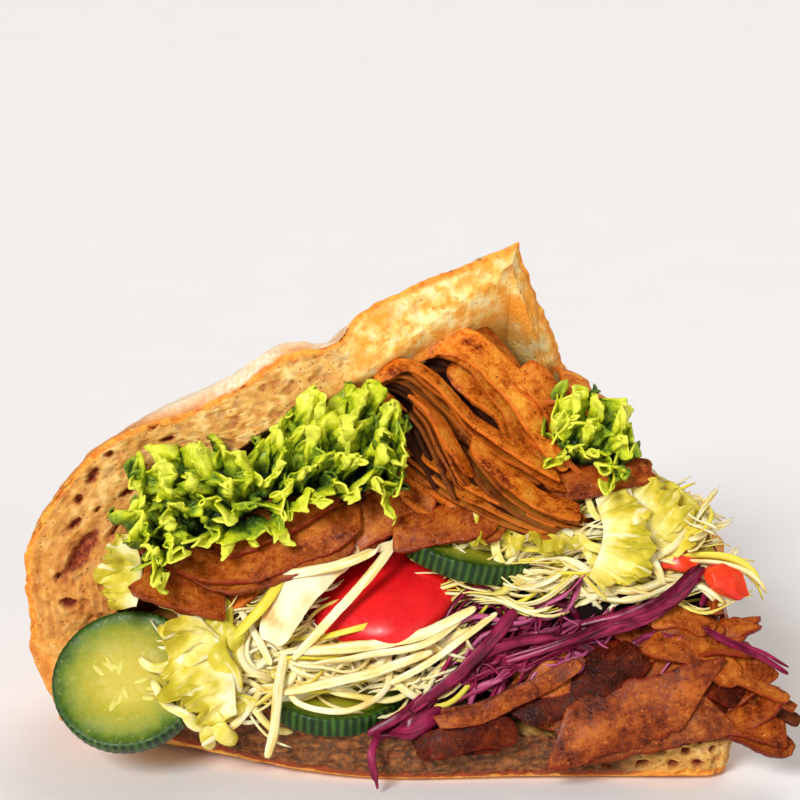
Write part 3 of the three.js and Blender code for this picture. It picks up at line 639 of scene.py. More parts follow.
cut_width = np.linalg.norm(rim_up - lip_up, axis=1)
low_width = np.linalg.norm(rim_low - lip_low, axis=1)
from_crust = np.where(regions == "upper cut", travel, 9) * cut_width[:, None]
from_crust = np.where(regions == "lower cut", (1 - travel) * low_width[:, None], from_crust)
from_crust = np.where((regions == "outside") | (regions == "sole"), 0, from_crust)
from_crust = on_sections(np.minimum(from_crust, 30), 0)
rim_length = np.cumsum(np.linalg.norm(np.diff(mouth, axis=0, prepend=mouth[:1]), axis=1))
true_size_map(bread, from_crust, on_sections(rim_length[:, None], 0))
note(bread, "from_crust", from_crust.ravel())
note(bread, "cut", on_sections(np.isin(regions, ["upper cut", "lower cut"]), 0).ravel())
note(bread, "crust", on_sections(np.isin(regions, ["sole", "outside"]), 1).ravel())
note(bread, "inside", on_sections(np.where(regions == "inside", travel, 0), 0).ravel())
note(bread, "dusted", on_sections(over * near_rim, 0).ravel())

close_seams(bread)
print("bread points:", len(bread.data.vertices), "on the cut:", int(noted(bread, "cut").sum()))

# %% [markdown]
# Bread crumb is a foam. Where the knife goes through, each bubble leaves a hole: a few are as long
# as a fingernail, most are smaller than a lentil, and near the crust they are drawn out along it.
# Each hole here is an oval dent, pressed into the cut face along its normal. The lifted leaf's
# inner face by the point was toasted flat on the grill, so it has only shallow dents.

# %% Holes in the crumb
LOW_BELOW, LOW_RIGHT_OF = 26, -70  # the cut edge of the lower leaf
TOAST_ACROSS, TOAST_UP, MOSTLY_TOAST = (-24, -10), (60, 72), 0.6
points = recipe_spots(bread)
is_cut = noted(bread, "cut") > 0.5
is_low = is_cut & (points[:, 2] < LOW_BELOW) & (points[:, 0] > LOW_RIGHT_OF)
toast = step(*TOAST_ACROSS, points[:, 0]) * step(*TOAST_UP, points[:, 2]) * (noted(bread, "crust") < 0.5)
crumb = np.flatnonzero(is_cut & (toast < MOSTLY_TOAST))
sunk = np.zeros(len(points))


def press_hole(middle, run, long, wide, deep):
    """An oval dent: its middle, the way it runs, half its length, half its width, and its depth."""
    away = points[crumb] - middle
    reach = np.linalg.norm(away, axis=1)
    close = reach < long * 1.4
    away, spot = away[close], crumb[close]
    down = away @ run
    side = np.sqrt(np.maximum(0, (away**2).sum(axis=1) - down**2))
    ragged = 1 + 0.25 * wander(points[spot], 1.7, 5)
    fall = deep * (1 - step(0.45, 1.0, np.sqrt((down / long) ** 2 + (side / wide) ** 2) * ragged))
    sunk[spot] = np.maximum(sunk[spot], fall)


# The large ones, each (x, z, half width, half length, lean in radians).
LARGE_HOLES = [
    (-90.5, 59.5, 3.0, 10.5, 0.6),
    (-92.5, 68, 1.1, 3.4, 0.75),
    (-91.4, 75, 1.4, 2.2, 0.3),
    (-87.2, 82, 1.6, 3.8, 0.55),
    (-82.4, 88, 1.2, 1.8, 0.8),
    (-95, 44, 3.0, 2.0, 0.2),
    (-73, 84, 0.9, 2.2, 0.7),
    (-77, 77, 1.1, 3.8, 0.95),
    (-66, 92, 0.9, 3.0, 1.3),
    (-81.4, 66, 0.8, 3.4, 0.6),
    (-58, 101, 0.8, 2.2, 1.1),
    (-84, 51, 1.2, 2.8, 0.7),
    (-98, 52, 1.0, 2.0, 0.3),
    (-86, 72, 0.8, 1.6, 0.5),
    (-70, 96, 1.0, 1.8, 0.9),
    (-49, 106, 0.8, 2.4, 1.2),
    (52, 8, 1.1, 1.9, 1.4),
    (57, 5, 0.9, 2.4, 1.6),
    (62, 9.5, 1.2, 2.2, 1.5),
    (66.5, 5.5, 1.5, 2.0, 1.3),
    (71, 9.5, 1.2, 2.6, 1.6),
    (75.5, 5, 1.4, 1.8, 1.6),
    (78.5, 9.5, 1.6, 2.0, 1.2),
    (82.5, 5.5, 1.6, 2.2, 1.7),
    (86, 9.5, 1.4, 1.8, 1.3),
    (89, 5, 1.2, 1.6, 1.5),
]
CUT_FRONT, LARGE_DEPTH = 25.5, 3.4
for x, z, wide, long, lean in LARGE_HOLES:
    near = crumb[np.argmin(((points[crumb] - (x, CUT_FRONT, z)) ** 2 * (1, 0.05, 1)).sum(axis=1))]
    press_hole(points[near], np.array([math.sin(lean), 0, math.cos(lean)]), long, wide, LARGE_DEPTH)

draw = np.random.default_rng(7)
middle_line = blend(rim_up, lip_up, 0.5)
edge_run = np.gradient(middle_line, axis=0)
edge_run /= np.linalg.norm(edge_run, axis=1, keepdims=True)
SMALL_HOLES, SMALLEST, LARGER_BY = 1900, 0.45, 1.2
for centre in draw.choice(crumb, SMALL_HOLES):
    size = SMALLEST + LARGER_BY * draw.random() ** 5
    if is_low[centre]:
        run, size = np.array([1.0, 0, 0]), 0.85 * size
    else:
        run = edge_run[np.argmin(((middle_line - points[centre]) ** 2).sum(axis=1))]
    run = run + draw.normal(0, 0.35, 3)
    press_hole(points[centre], run / np.linalg.norm(run), size * draw.uniform(1.2, 2.2), size, size * 0.9)
across, up = points[:, 0], points[:, 2]
high_up = step(50, 92, up)
note(bread, "hole", step(0.3, 2.4, sunk))
# Painted shade: the cut face of the lower leaf is noted to be painted dark brown, less so towards its right
# end.
note(bread, "low", is_low * (1 - 0.85 * step(58, 72, across)))
note(bread, "flour", high_up * step(-92, -62, across) * (1 - 0.35 * step(-20, 10, across)))
note(bread, "golden", (1 - high_up) * (1 - step(-60, -40, across)))
note(bread, "toast", toast)
print("holes:", len(LARGE_HOLES) + SMALL_HOLES, "deepest, mm:", sunk.max().round(1))

# %% [markdown]
# The crust rises in slow lumps with fine wrinkles between them. The toasted face has low blisters.
# The cut edge itself wavers a little, as no knife cuts bread quite straight. Nothing under the
# loaf moves: it stays level with the table.

# %% Relief of the crust, the crumb and the toasted face
crust = noted(bread, "crust") > 0.5
lifted = step(1.0, 5.0, points[:, 2])
heights = bumps(points, (0.7, 15, 1))
heights += np.where(crust, bumps(points, (0.5, 5, 2), (0.25, 1.9, 3)), 0)
heights += np.where(is_cut, bumps(points, (0.42, 2.6, 4), (0.24, 1.2, 8)), 0)
heights += toast * bumps(points, (0.5, 7, 5), (0.3, 2.6, 6))
edge = np.exp(-((noted(bread, "from_crust") / 1.2) ** 2)) * is_cut
heights += edge * bumps(points, (0.5, 3, 9))
push(bread, heights * lifted - sunk)
points = recipe_spots(bread)
points[:, 2] = np.where(points[:, 2] < 1.2, np.maximum(points[:, 2], 0), points[:, 2])
lay(bread, points)

# %% [markdown]
# One material covers the whole loaf and reads the notes: golden crust with flour on top, an orange
# line where the crust was cut through, tan crumb with painted shade in its holes, reddish brown,
# dark brown painted shade on the cut face of the lower leaf, and cream with golden blisters on the
# toasted face, painted a brighter gold deep in the pocket as painted light.

# %% Bread material
paint = Surface("flatbread_bake", Roughness=0.8)
hole, from_crust, is_crust = paint.noted("hole"), paint.noted("from_crust"), paint.noted("crust")
coarse, middle, fine = paint.noise(14, 4), paint.noise(4, 4), paint.noise(1.3, 3)
pores = paint.cells(1.9)

strands = paint.noise(1.7, 4, 0.65, paint.stretch(paint.map, (1, 0.65, 1)))
foamy = paint.mix(0.5, strands, middle)
crumb_colour = paint.ramp(foamy, (0.39, (204, 138, 56)), (0.5, (234, 186, 98)), (0.6, (250, 220, 150)))
crumb_colour = paint.mix(paint.window(coarse, 0.48, 0.7), crumb_colour, (216, 160, 70))
warm = paint.ramp(paint.noted("golden"), (0.0, (255, 250, 240)), (1.0, (240, 206, 166)))
crumb_colour = paint.mix(1.0, crumb_colour, warm, "MULTIPLY")
speckle = paint.mix(0.6, fine, paint.noise(2.2, 3))
# Painted shade: the cut face of the lower leaf is darkened to brown where it lies in shade.
brown = paint.ramp(speckle, (0.38, (48, 12, 3)), (0.5, (82, 32, 9)), (0.62, (126, 64, 22)))
low = paint.noted("low")
crumb_colour = paint.mix(paint.times(low, 0.95), crumb_colour, brown)
walls = paint.cells(2.6, paint.stretch(paint.map, (1, 0.5, 1)), "DISTANCE_TO_EDGE")
web = paint.window(walls, 0.03, 0.3)
web = paint.times(web, paint.ramp(strands, (0.4, 0.15), (0.6, 0.65)))
crumb_colour = paint.mix(web, crumb_colour, (184, 112, 50))
crumb_colour = paint.mix(paint.window(pores, 0.24, 0.08), crumb_colour, (168, 92, 38))
# Painted shade: the holes in the crumb are darkened to reddish brown.
hole_shade = paint.ramp(fine, (0.4, (112, 34, 12)), (0.62, (178, 84, 34)))
crumb_colour = paint.mix(hole, crumb_colour, hole_shade)

golden = paint.ramp(middle, (0.38, (255, 234, 168)), (0.5, (255, 212, 118)), (0.62, (246, 168, 58)))
toast_colour = paint.mix(paint.window(coarse, 0.46, 0.62), golden, (244, 160, 48))
toast_colour = paint.mix(paint.window(fine, 0.6, 0.72), toast_colour, (224, 140, 50))
# Painted light: the deep inside of the pocket, which lies in shade, is painted a brighter gold.
inner = paint.window(paint.noted("inside"), 0.04, 0.18)
glow = paint.ramp(coarse, (0.36, (255, 222, 136)), (0.5, (255, 194, 88)), (0.64, (244, 162, 58)))
toast_colour = paint.mix(paint.times(inner, 0.92), toast_colour, glow)

baked = paint.mix(0.5, coarse, middle)
bake = paint.ramp(baked, (0.36, (246, 184, 90)), (0.5, (230, 148, 54)), (0.66, (192, 98, 26)))
bake = paint.mix(paint.window(fine, 0.5, 0.75), bake, (206, 116, 38))
bake = paint.mix(paint.window(paint.noise(0.9, 3), 0.6, 0.7), bake, (255, 214, 140))
flour = paint.window(paint.noise(26, 4, 0.6), 0.40, 0.60)
flour = paint.times(flour, paint.ramp(fine, (0.3, 0.4), (0.6, 1.0)))
flour = paint.times(flour, paint.noted("flour"))
dusted = paint.times(paint.noted("dusted"), paint.ramp(fine, (0.3, 0.55), (0.55, 1.0)))
flour = paint.sum(flour, dusted, "MAXIMUM")
crust_colour = paint.mix(flour, bake, (250, 232, 200))

colour = paint.mix(paint.noted("toast"), crumb_colour, toast_colour)
rind = paint.ramp(paint.mix(0.5, fine, middle), (0.38, (252, 184, 66)), (0.6, (234, 126, 34)))
# Painted shade: the crust line of the lower leaf is darkened too.
rind = paint.mix(low, rind, (150, 62, 18))
crust_line = paint.window(paint.sum(from_crust, paint.times(middle, 2.4)), 4.4, 2.6)
colour = paint.mix(crust_line, colour, rind)
colour = paint.mix(is_crust, colour, crust_colour)
foam = paint.sum(paint.times(strands, paint.window(pores, 0, 0.5)), web, "SUBTRACT")
grain = paint.bump(paint.mix(is_crust, foam, strands), 0.5, 0.6)
rough = paint.ramp(middle, (0.3, 0.72), (0.7, 0.9))
serve(bread, paint.finish(colour, rough, grain), "bread", "flatbread")

# %% [markdown]
# ## Strips
# Carved meat, cabbage shreds and pale leaves are all strips: thin, long, and turned so that their
# broad face looks some way. One strip is a narrow grid. An Array modifier copies it as often as
# needed, and each copy is then laid along its own line. A Solidify modifier gives the strips their
# thickness, and on the thicker ones a bevel takes off the sharp edge.

# %% Many strips laid along their lines
def blank_strips(name, count, columns, rows):
    """`count` narrow grids side by side in one mesh, ready to be laid out."""
    piece, _, _ = blank_grid(name, columns, rows)
    if count > 1:
        apply(piece, "ARRAY", count=count)
    return piece


def ends_rounded(steps, taper, power=3, point=0.5):
    """How wide a strip is along its length: full in the middle, `taper` of that at its ends.

    With a `point` near 1 the ends are pointed, and with 0.5 they are round.
    """
    return taper + (1 - taper) * np.maximum(0, 1 - np.abs(np.linspace(-1, 1, steps)) ** power) ** point


def fanned(lines, widths, extra, spread, seed):
    """Each line, and `extra` narrower ones that split off beside and behind it."""
    draw = np.random.default_rng(seed)
    lines, widths = np.repeat(lines, extra + 1, axis=0), np.repeat(widths, extra + 1, axis=0)
    count, steps, _ = lines.shape
    added = (np.arange(count) % (extra + 1) > 0).astype(float)[:, None]
    share = np.linspace(-1, 1, steps)[None, :, None]
    reach = widths.max(axis=1)[:, None, None] * added[..., None]
    shift = draw.normal(0, spread, (count, 1, 3)) + draw.normal(0, spread * 0.7, (count, 1, 3)) * share
    lines = lines + reach * shift + added[..., None] * (0, 0.9, 0)
    return lines, widths * (1 - added * draw.uniform(0.35, 0.7, (count, 1)))


def piled(lines, faces, widths, extra, gap, seed):
    """Each strip with `extra` more beneath it, like pages, each shifted and a little narrower."""
    draw = np.random.default_rng(seed)
    layer = np.tile(np.arange(extra + 1.0), len(lines))[:, None, None]
    lines, widths = np.repeat(lines, extra + 1, axis=0), np.repeat(widths, extra + 1, axis=0)
    faces = np.repeat(faces, extra + 1, axis=0)
    run = unit(np.gradient(lines, axis=1))
    size = widths.max(axis=1)[:, None, None]
    count, steps, _ = lines.shape
    under = np.minimum(layer, 1)
    across = draw.normal(0, 0.22, (count, 1, 1)) + 0.2 * np.linspace(-1, 1, steps)[None, :, None]
    across = under * size * across
    slide = under * draw.normal(0, 3, (count, 1, 1))
    lines = lines - unit(faces) * layer * gap + unit(np.cross(run, faces)) * across + run * slide
    return lines, faces, widths * (1 - under[..., 0] * draw.uniform(0.0, 0.35, (count, 1)))


def lay_strips(
    name, lines, faces, widths, columns=1, cup=0.0, ragged=0.0, wave=0.0, seed=1, grain=0.0, slant=0.0
):
    """Strips along `lines` (strip, step, xyz), turned to `faces`, `widths` (strip, step) mm wide.

    They are cupped across, ragged at the edge, waved, ridged along their grain, and cut at a slant.
    """
    count, steps, _ = lines.shape
    piece = blank_strips(name, count, columns, steps - 1)
    run = unit(np.gradient(lines, axis=1))
    side = unit(np.cross(run, faces))
    out = np.cross(side, run)
    length = np.cumsum(np.linalg.norm(np.diff(lines, axis=1, prepend=lines[:, :1]), axis=2), axis=1)
    share = np.linspace(-1, 1, columns + 1)
    across = 0.5 * share * widths[..., None]
    along = np.broadcast_to(length[..., None], across.shape)
    strip = np.broadcast_to(np.arange(count)[:, None, None] * 41.3 + seed, across.shape)
    shape = across.shape
    walk = np.stack([along, strip, np.sign(share) * 9.0 + strip], axis=-1).reshape(-1, 3)
    edge_noise = bumps(walk, (1, 7, seed), (0.6, 3, seed + 1), (0.45, 1.2, seed + 3))
    across = across * (1 + ragged * edge_noise.reshape(shape))
    sheet = np.stack([along, strip, across], axis=-1).reshape(-1, 3)
    curl = 1 + 0.8 * wander(sheet * (1, 1, 0), 11, seed + 5).reshape(shape)
    lift = wave * wander(sheet, 9, seed + 2).reshape(shape)
    lift = lift + cup * widths[..., None] * (1 - share**2) * curl
    if grain:
        lift = lift + grain * wander(sheet * (0.16, 1, 1), 1.3, seed + 6).reshape(shape)
    points = lines[:, :, None] + side[:, :, None] * across[..., None] + out[:, :, None] * lift[..., None]
    skew = np.random.default_rng(seed + 9).normal(0, slant, (count, 2))
    end = np.abs(np.linspace(-1, 1, steps)) ** 3
    skew = end * np.where(np.linspace(-1, 1, steps) < 0, skew[:, :1], skew[:, 1:])
    points = points + run[:, :, None] * (across * skew[..., None])[..., None]
    lay(piece, points.reshape(-1, 3))
    true_size_map(piece, across + 50 * strip, along)
    end = np.abs(np.linspace(-1, 1, steps))[None, :, None] ** 8
    note(piece, "edge", np.maximum(np.abs(share), end * np.ones(shape)).ravel())
    note(piece, "tint", np.broadcast_to(np.random.default_rng(seed).random((count, 1, 1)), shape).ravel())
    note(piece, "deep", 0)
    # The fold note steers painted light and shade: lighter where a strip bulges out, darker in its hollows.
    note(piece, "fold", np.clip(0.5 + 0.25 * (lift - lift.mean(axis=2, keepdims=True)), 0, 1).ravel())
    return piece


# %% [markdown]
# Loose pieces are strewn over an open side of the sandwich. Each one is a gentle arc: it starts at
# a drawn place, leans and bends by drawn amounts, and its two ends dip into the heap behind it.

# %% Lines of loose pieces
def strewn_lines(opening, count, seed, along, up, lean, length, proud, bend=0.02, tuck=4.0, steps=16):
    """`count` arcs, as an array (piece, step, xyz), with drawn places, leans and lengths."""
    draw = np.random.default_rng(seed)
    pick_one = lambda span: draw.uniform(*span, (count, 1))
    share = np.linspace(-0.5, 0.5, steps)
    middle, height, reach, stand = pick_one(along), pick_one(up), pick_one(length), pick_one(proud)
    turn = pick_one(lean) + draw.normal(0, bend, (count, 1)) * reach * share
    turn = turn + 0.35 * np.sin(share * draw.uniform(4, 11, (count, 1)) + draw.uniform(0, 6, (count, 1)))
    pace = reach / (steps - 1)
    a = np.cumsum(np.cos(turn) * pace, axis=1)
    z = np.cumsum(np.sin(turn) * pace, axis=1)
    a += middle - a.mean(axis=1, keepdims=True)
    z += height - z.mean(axis=1, keepdims=True)
    out = stand - tuck * (2 * np.abs(share)) ** 3 + 0.8 * np.sin(share * 9 + draw.uniform(0, 6, (count, 1)))
    return opening(a, z, out)


def drawn_faces(lines, outward, seed, tilt=0.5, twist=1.2):
    """The way each strip's face looks at each step: outward, tilted at random and slowly twisting."""
    draw = np.random.default_rng(seed)
    count, steps, _ = lines.shape
    start = np.asarray(outward, float) + draw.normal(0, tilt, (count, 1, 3))
    turn = draw.normal(0, twist, (count, 1, 3)) * np.linspace(-0.5, 0.5, steps)[None, :, None]
    return unit(start + turn)


# %% [markdown]
# ## Carved meat
# The meat was stacked on an upright spit, roasted from outside and shaved off in long thin slices.
# Each slice is 1 to 2 mm thick, follows the muscle's grain, has ragged edges, and is darkest where
# it was nearest to the fire. We lay each slice along its own route, with more layers beneath it like
# pages, then thicken them and bevel their edges.

# %% Carved slices
UP = (0.05, -0.55, 0.8)
# Each slice: its width, the way its broad side faces, and its route as (across, up, proud).
SLICES = {
    "kebab_slice_left_top": (13, UP, [(-53, 63, 5), (-40, 69, 5), (-29, 74, 5), (-18, 78, 3)]),
    "kebab_slice_left_middle": (
        12, UP, [(-70, 65, 6), (-59, 61, 7), (-46, 59, 7), (-29, 64, 6), (-12, 70, 4)]
    ),
    "kebab_slice_left_low": (11, UP, [(-75, 56, 7), (-64, 53, 8), (-50, 49, 7)]),
    "kebab_slice_centre": (13, (0, -0.7, 0.7), [(-19, 63, 2), (-7, 70, 2), (7, 76, 1)]),
    "kebab_slice_flat": (12, (0.05, -0.6, 0.8), [(-3, 66, 5), (12, 69, 5), (27, 70, 5)]),
    "kebab_slice_right_flat": (9, (0.1, -0.6, 0.8), [(42, 77, 4), (56, 80, 4), (69, 82, 2)]),
    "kebab_strip_outer_arc": (
        10,
        (0.55, -0.65, 0.5),
        [(0, 111, 1), (9, 115, 1), (20, 113, 2), (31, 103, 2), (39, 92, 3), (46, 83, 3)],
    ),
    "kebab_strip_folded": (
        6,
        (0.6, -0.25, 0.75),
        [(-8, 106, 6), (1, 110, 8), (10, 106, 9), (19, 97, 8), (32, 88, 8), (43, 82, 7)],
    ),
    "kebab_strip_upright": (6, (0.85, -0.3, 0.4), [(3, 103, 12), (9, 98, 13), (14, 90, 12), (18, 83, 11)]),
    "kebab_strip_inner": (6, (0.65, -0.3, 0.7), [(13, 98, 5), (22, 90, 5), (33, 81, 4)]),
    "kebab_strip_wide": (8, (0.55, -0.4, 0.75), [(19, 92, 10), (27, 84, 11), (38, 77, 11), (49, 73, 9)]),
    "kebab_strip_lower": (6, (0.5, -0.3, 0.8), [(-1, 91, 5), (11, 83, 6), (25, 76, 6), (43, 70, 6)]),
    "kebab_slice_bottom_large": (
        17, (0.1, -0.9, 0.5), [(42, 15, 6), (57, 20, 6), (71, 24, 6), (84, 28, 6)]
    ),
    "kebab_slice_bottom_dark": (
        13, (-0.1, -0.7, 0.6), [(31, 20, 3), (44, 26, 3), (55, 31, 3), (66, 36, 3)]
    ),
    "kebab_slice_bottom_back": (10, (0.2, -0.6, 0.75), [(68, 39, 4), (80, 37, 4), (93, 29, 3)]),
    "kebab_strip_right": (5, (0.3, -0.5, 0.8), [(86, 33, 3), (97, 28, 3), (107, 24, 3)]),
    "kebab_slice_right_low": (9, (0.1, -0.6, 0.8), [(78, 17, 2), (92, 19, 3), (106, 15, 3)]),
    "kebab_slice_front_low": (9, (-0.1, -0.9, 0.4), [(7, 13, 5), (18, 16, 5), (31, 17, 4)]),
    "kebab_strip_thin": (5, (0, -0.9, 0.4), [(9, 20, 7), (21, 22, 7), (35, 28, 7), (49, 35, 7)]),
    "kebab_slice_right_back": (9, (0.3, -0.7, 0.6), [(74, 30, 2), (84, 29, 3), (94, 24, 2)]),
    "kebab_piece_under_pepper": (7, (0.1, -0.6, 0.8), [(69, 43, 3), (77, 45, 3), (86, 41, 2)]),
}
MEAT_SHAPE, MEAT_EDGE = {"cup": 0.03, "ragged": 0.11, "wave": 0.9, "grain": 0.05, "slant": 0.45}, 0.2


def blunt(piece, width_mm, segments):
    """Bevel the sharp edges of a thick strip."""
    sharp = {"limit_method": "ANGLE", "angle_limit": math.radians(60)}
    apply(piece, "BEVEL", width=width_mm * MM, segments=segments, **sharp)


def slice_ends(count, steps, seed):
    """Widths along each slice. Either end may be cut blunt or run out to a point."""
    draw = np.random.default_rng(seed)
    share = np.linspace(-1, 1, steps)
    one_end = lambda low, high: draw.uniform(low, high, (count, 1))
    either = lambda *span: np.where(share < 0, one_end(*span), one_end(*span))
    end, power, point = either(0.25, 0.85), either(4, 12), either(0.5, 0.9)
    return end + (1 - end) * np.maximum(0, 1 - np.abs(share) ** power) ** point


def carve(name, lines, faces, widths, seed, columns=12, thickness=1.5, deep=None):
    """Slices of meat along these lines, thin, flat, ragged, sharp-edged and cut at a slant."""
    count, steps, _ = lines.shape
    widths = widths * slice_ends(count, steps, seed)
    piece = lay_strips(name, lines, faces, widths, columns, seed=seed, **MEAT_SHAPE)
    if deep is not None:
        note(piece, "deep", np.repeat(deep, steps * (columns + 1)))
    apply(piece, "SOLIDIFY", thickness=thickness * MM, offset=0)
    blunt(piece, MEAT_EDGE, 1)
    return piece


# %% [markdown]
# The meat material follows the strips' own UV map: the grain is a noise drawn out along the slice.
# The faces are brown to orange brown, with painted light and shade on their folds, the edges are
# reddish, and pepper and spots of fat dot them; the fat spots also serve as painted glints. The lower
# layers of a bundle are painted darker, as painted shade. The meat is moist, so it shines softly.

# %% Meat material
def meat_pattern():
    """What all meats share: browning with painted light and shade on its folds, edge, fat with painted
    glints, pepper, and the height of the grain.
    """
    paint = Shared("meat_pattern")
    grain = paint.noise(1.3, 4, 0.6, paint.stretch(paint.map, (1, 0.3, 1)))
    blotch, mottle = paint.noise(8, 4, 0.6), paint.noise(2.4, 4, 0.65)
    fine = paint.noise(0.7, 3, 0.6)
    level = paint.mix(0.55, paint.mix(0.3, mottle, grain), blotch)
    level = paint.sum(level, paint.swing(fine, 0.22))
    uneven = paint.sum(paint.noted("edge"), paint.times(paint.mix(0.4, blotch, mottle), 1.2))
    # Spots of fat, which also serve as painted glints of moisture.
    fat = paint.times(paint.window(fine, 0.6, 0.7), paint.window(mottle, 0.5, 0.62))
    rough = paint.ramp(paint.mix(0.5, mottle, fine), (0.43, 0.17), (0.53, 0.6))
    # The folds add painted light and shade to the level.
    return paint.give(
        Level=paint.sum(level, paint.swing(paint.noted("fold"), 0.22)),
        Rim=paint.window(uneven, 1.42, 1.72),
        Fat=paint.times(fat, 0.55),
        Pepper=paint.times(paint.window(paint.cells(3.4), 0.12, 0.08), 0.8),
        Rough=paint.sum(rough, paint.noted("deep"), "MAXIMUM"),
        Height=paint.mix(0.5, mottle, paint.mix(0.5, grain, fine)),
    )


def meat_bake(name, light, middle, dark, rim, glint, gloss=0.22):
    """Browned meat: three tones of its face, its edge, its spots of fat with painted glints, and painted
    shade below.
    """
    paint = Surface(name, Specular_IOR_Level=gloss)
    meat = paint.use(meat_group)
    colour = paint.ramp(meat["Level"], (0.37, dark), (0.49, middle), (0.62, light))
    colour = paint.mix(meat["Rim"], colour, rim)
    colour = paint.mix(meat["Fat"], colour, glint)
    shade = paint.ramp(paint.noted("tint"), (0.0, (255, 250, 240)), (1.0, (226, 204, 176)))
    colour = paint.mix(1.0, colour, shade, "MULTIPLY")
    colour = paint.mix(meat["Pepper"], colour, (70, 30, 10))
    # Painted shade: the lower layers of a bundle and the packed body of a heap are darkened.
    colour = paint.mix(paint.noted("deep"), colour, (34, 8, 2))
    return paint.finish(colour, meat["Rough"], paint.bump(meat["Height"], 0.5, 0.9))


meat_group = meat_pattern()
MEAT_TONES = {
    "brown": ((214, 130, 46), (172, 84, 24), (100, 34, 6), (146, 40, 8), (255, 212, 146)),
    # The glazed strips have a lighter gold edge, as painted light along their lit edges.
    "glazed": ((255, 182, 66), (222, 120, 30), (116, 34, 4), (228, 122, 36), (255, 220, 136)),
    "low": ((206, 118, 40), (150, 68, 20), (70, 20, 4), (128, 30, 8), (255, 208, 140), 0.18),
    "dark": ((116, 44, 14), (74, 22, 7), (36, 8, 2), (108, 24, 8), (206, 130, 76), 0.08),
}
meats = {finish: meat_bake("carved_meat_" + finish, *tones) for finish, tones in MEAT_TONES.items()}
# The strips of the upper bundle are glazed with fat. Some slices below are browner, three are dark.
FINISHES = {
    "glazed": ("outer_arc", "folded", "upright", "inner", "strip_wide", "strip_lower"),
    "dark": ("bottom_dark", "right_back", "front_low"),
    "low": ("bottom_large", "strip_thin", "right_low"),
    "brown": ("kebab",),
}
STEPS, COLUMNS, SHADE_OF_LAYER, DARKEST = 76, 18, 0.24, 0.94
# For a strip of the bundle and for a single slice: its layers, the gap between them, its thickness.
BUNDLED, SINGLE = (6, 2.1, 1.0), (2, 1.9, 1.6)
for seed, (name, (width, face, places)) in enumerate(SLICES.items()):
    line = by_length(line_through(in_mouth, places), np.linspace(0, 1, STEPS))[None]
    layers, gap, thickness = BUNDLED if "strip" in name else SINGLE
    faces, widths = np.broadcast_to(face, line.shape), np.full((1, STEPS), width, float)
    pile = piled(line, faces, widths, layers - 1, gap, seed)
    # Painted shade: each layer lower in a pile is painted darker.
    deep = np.minimum(SHADE_OF_LAYER * np.arange(layers), DARKEST)
    slice_piece = carve(name + "_dressed", *pile, seed + 5, COLUMNS, thickness, deep)
    finish = next(finish for finish, words in FINISHES.items() if any(word in name for word in words))
    serve(slice_piece, meats[finish], "carved_meat", name)

# %% [markdown]
# ## The heaps
# Behind the pieces that show, each filling is packed into the pocket: meat below, red and white
# cabbage in the middle, meat on top. A heap is a soft body between two lines, with the loose pieces
# strewn over the two sides where the knife opened it. The body is a grid bent round into a closed
# skin, lumpy where it shows, and painted dark all over, as painted shade deep in the pocket.

# %% The imported body of a heap
HEAP_SQUARENESS, HEAP_END, HEAP_DEPTH = 0.6, 0.6, 8
POCKET_FLOOR, POCKET_LEAN = 28, 0.46
AROUND, HEAP_STEPS = 72, 90
SAG_FROM, SAG_BEHIND = (60, 84), 28


def flat_line(places, axis):
    """A guide line through (x, height) or (x, back) places."""
    knots = np.array([(x, 0, 0) for x, _ in places], float)
    knots[:, axis] = [value for _, value in places]
    return by_length(knots, np.linspace(0, 1, HEAP_STEPS + 1))


def packed_body(name, low, high, far, inset, seed, lump=2.0, sag=0.0):
    """A closed lumpy body between the lines `low` and `high`, back to the line `far`.

    Its top may sag towards the back at the right-hand end, by `sag` mm for each mm.
    """
    bottom, top, back_line = flat_line(low, 2), flat_line(high, 2), flat_line(far, 1)
    piece, _, _ = blank_grid(name, AROUND, HEAP_STEPS)
    angle = np.linspace(0, 2 * np.pi, AROUND + 1)
    square = lambda c: np.sign(c) * np.abs(c) ** HEAP_SQUARENESS
    size = HEAP_END + (1 - HEAP_END) * np.sin(np.pi * np.linspace(0, 1, HEAP_STEPS + 1)) ** 0.4
    size = size[:, None]
    low_z, tall = bottom[:, 2:], top[:, 2:] - bottom[:, 2:]
    z = (low_z + top[:, 2:]) / 2 + tall / 2 * square(np.sin(angle)) * size
    front = MOUTH_SLOPE * (z - MOUTH_FOOT) + inset
    back = back_line[:, 1:2] - POCKET_LEAN * np.maximum(0, z - POCKET_FLOOR)
    y = blend(front, np.maximum(back, front + HEAP_DEPTH), 0.5 + 0.5 * square(np.cos(angle)) * size)
    x = np.broadcast_to(bottom[:, :1], z.shape)
    rise = np.clip((z - low_z) / tall, 0, 1)
    z = z - sag * rise * step(*SAG_FROM, x) * np.maximum(0, y - SAG_BEHIND)
    lay(piece, np.stack([x, y, z], axis=-1).reshape(-1, 3))
    close_seams(piece, fill=True)
    push(piece, lump * bumps(recipe_spots(piece), (1, 9, seed), (0.5, 4, seed + 1)) - lump)
    note(piece, "edge", 0)
    note(piece, "tint", 0.5 + 0.5 * wander(recipe_spots(piece), 12, seed))
    # Painted shade: the whole body takes the dark colour of the depths.
    note(piece, "deep", 1)
    note(piece, "fold", 0.5)
    return piece


# %% [markdown]
# The two meat heaps are packed slices too. Those that reach an open side are modelled there, some
# across the front and some at the right-hand ends, where they lie one over the other.

# %% Meat heaps
END_STEPS = 30


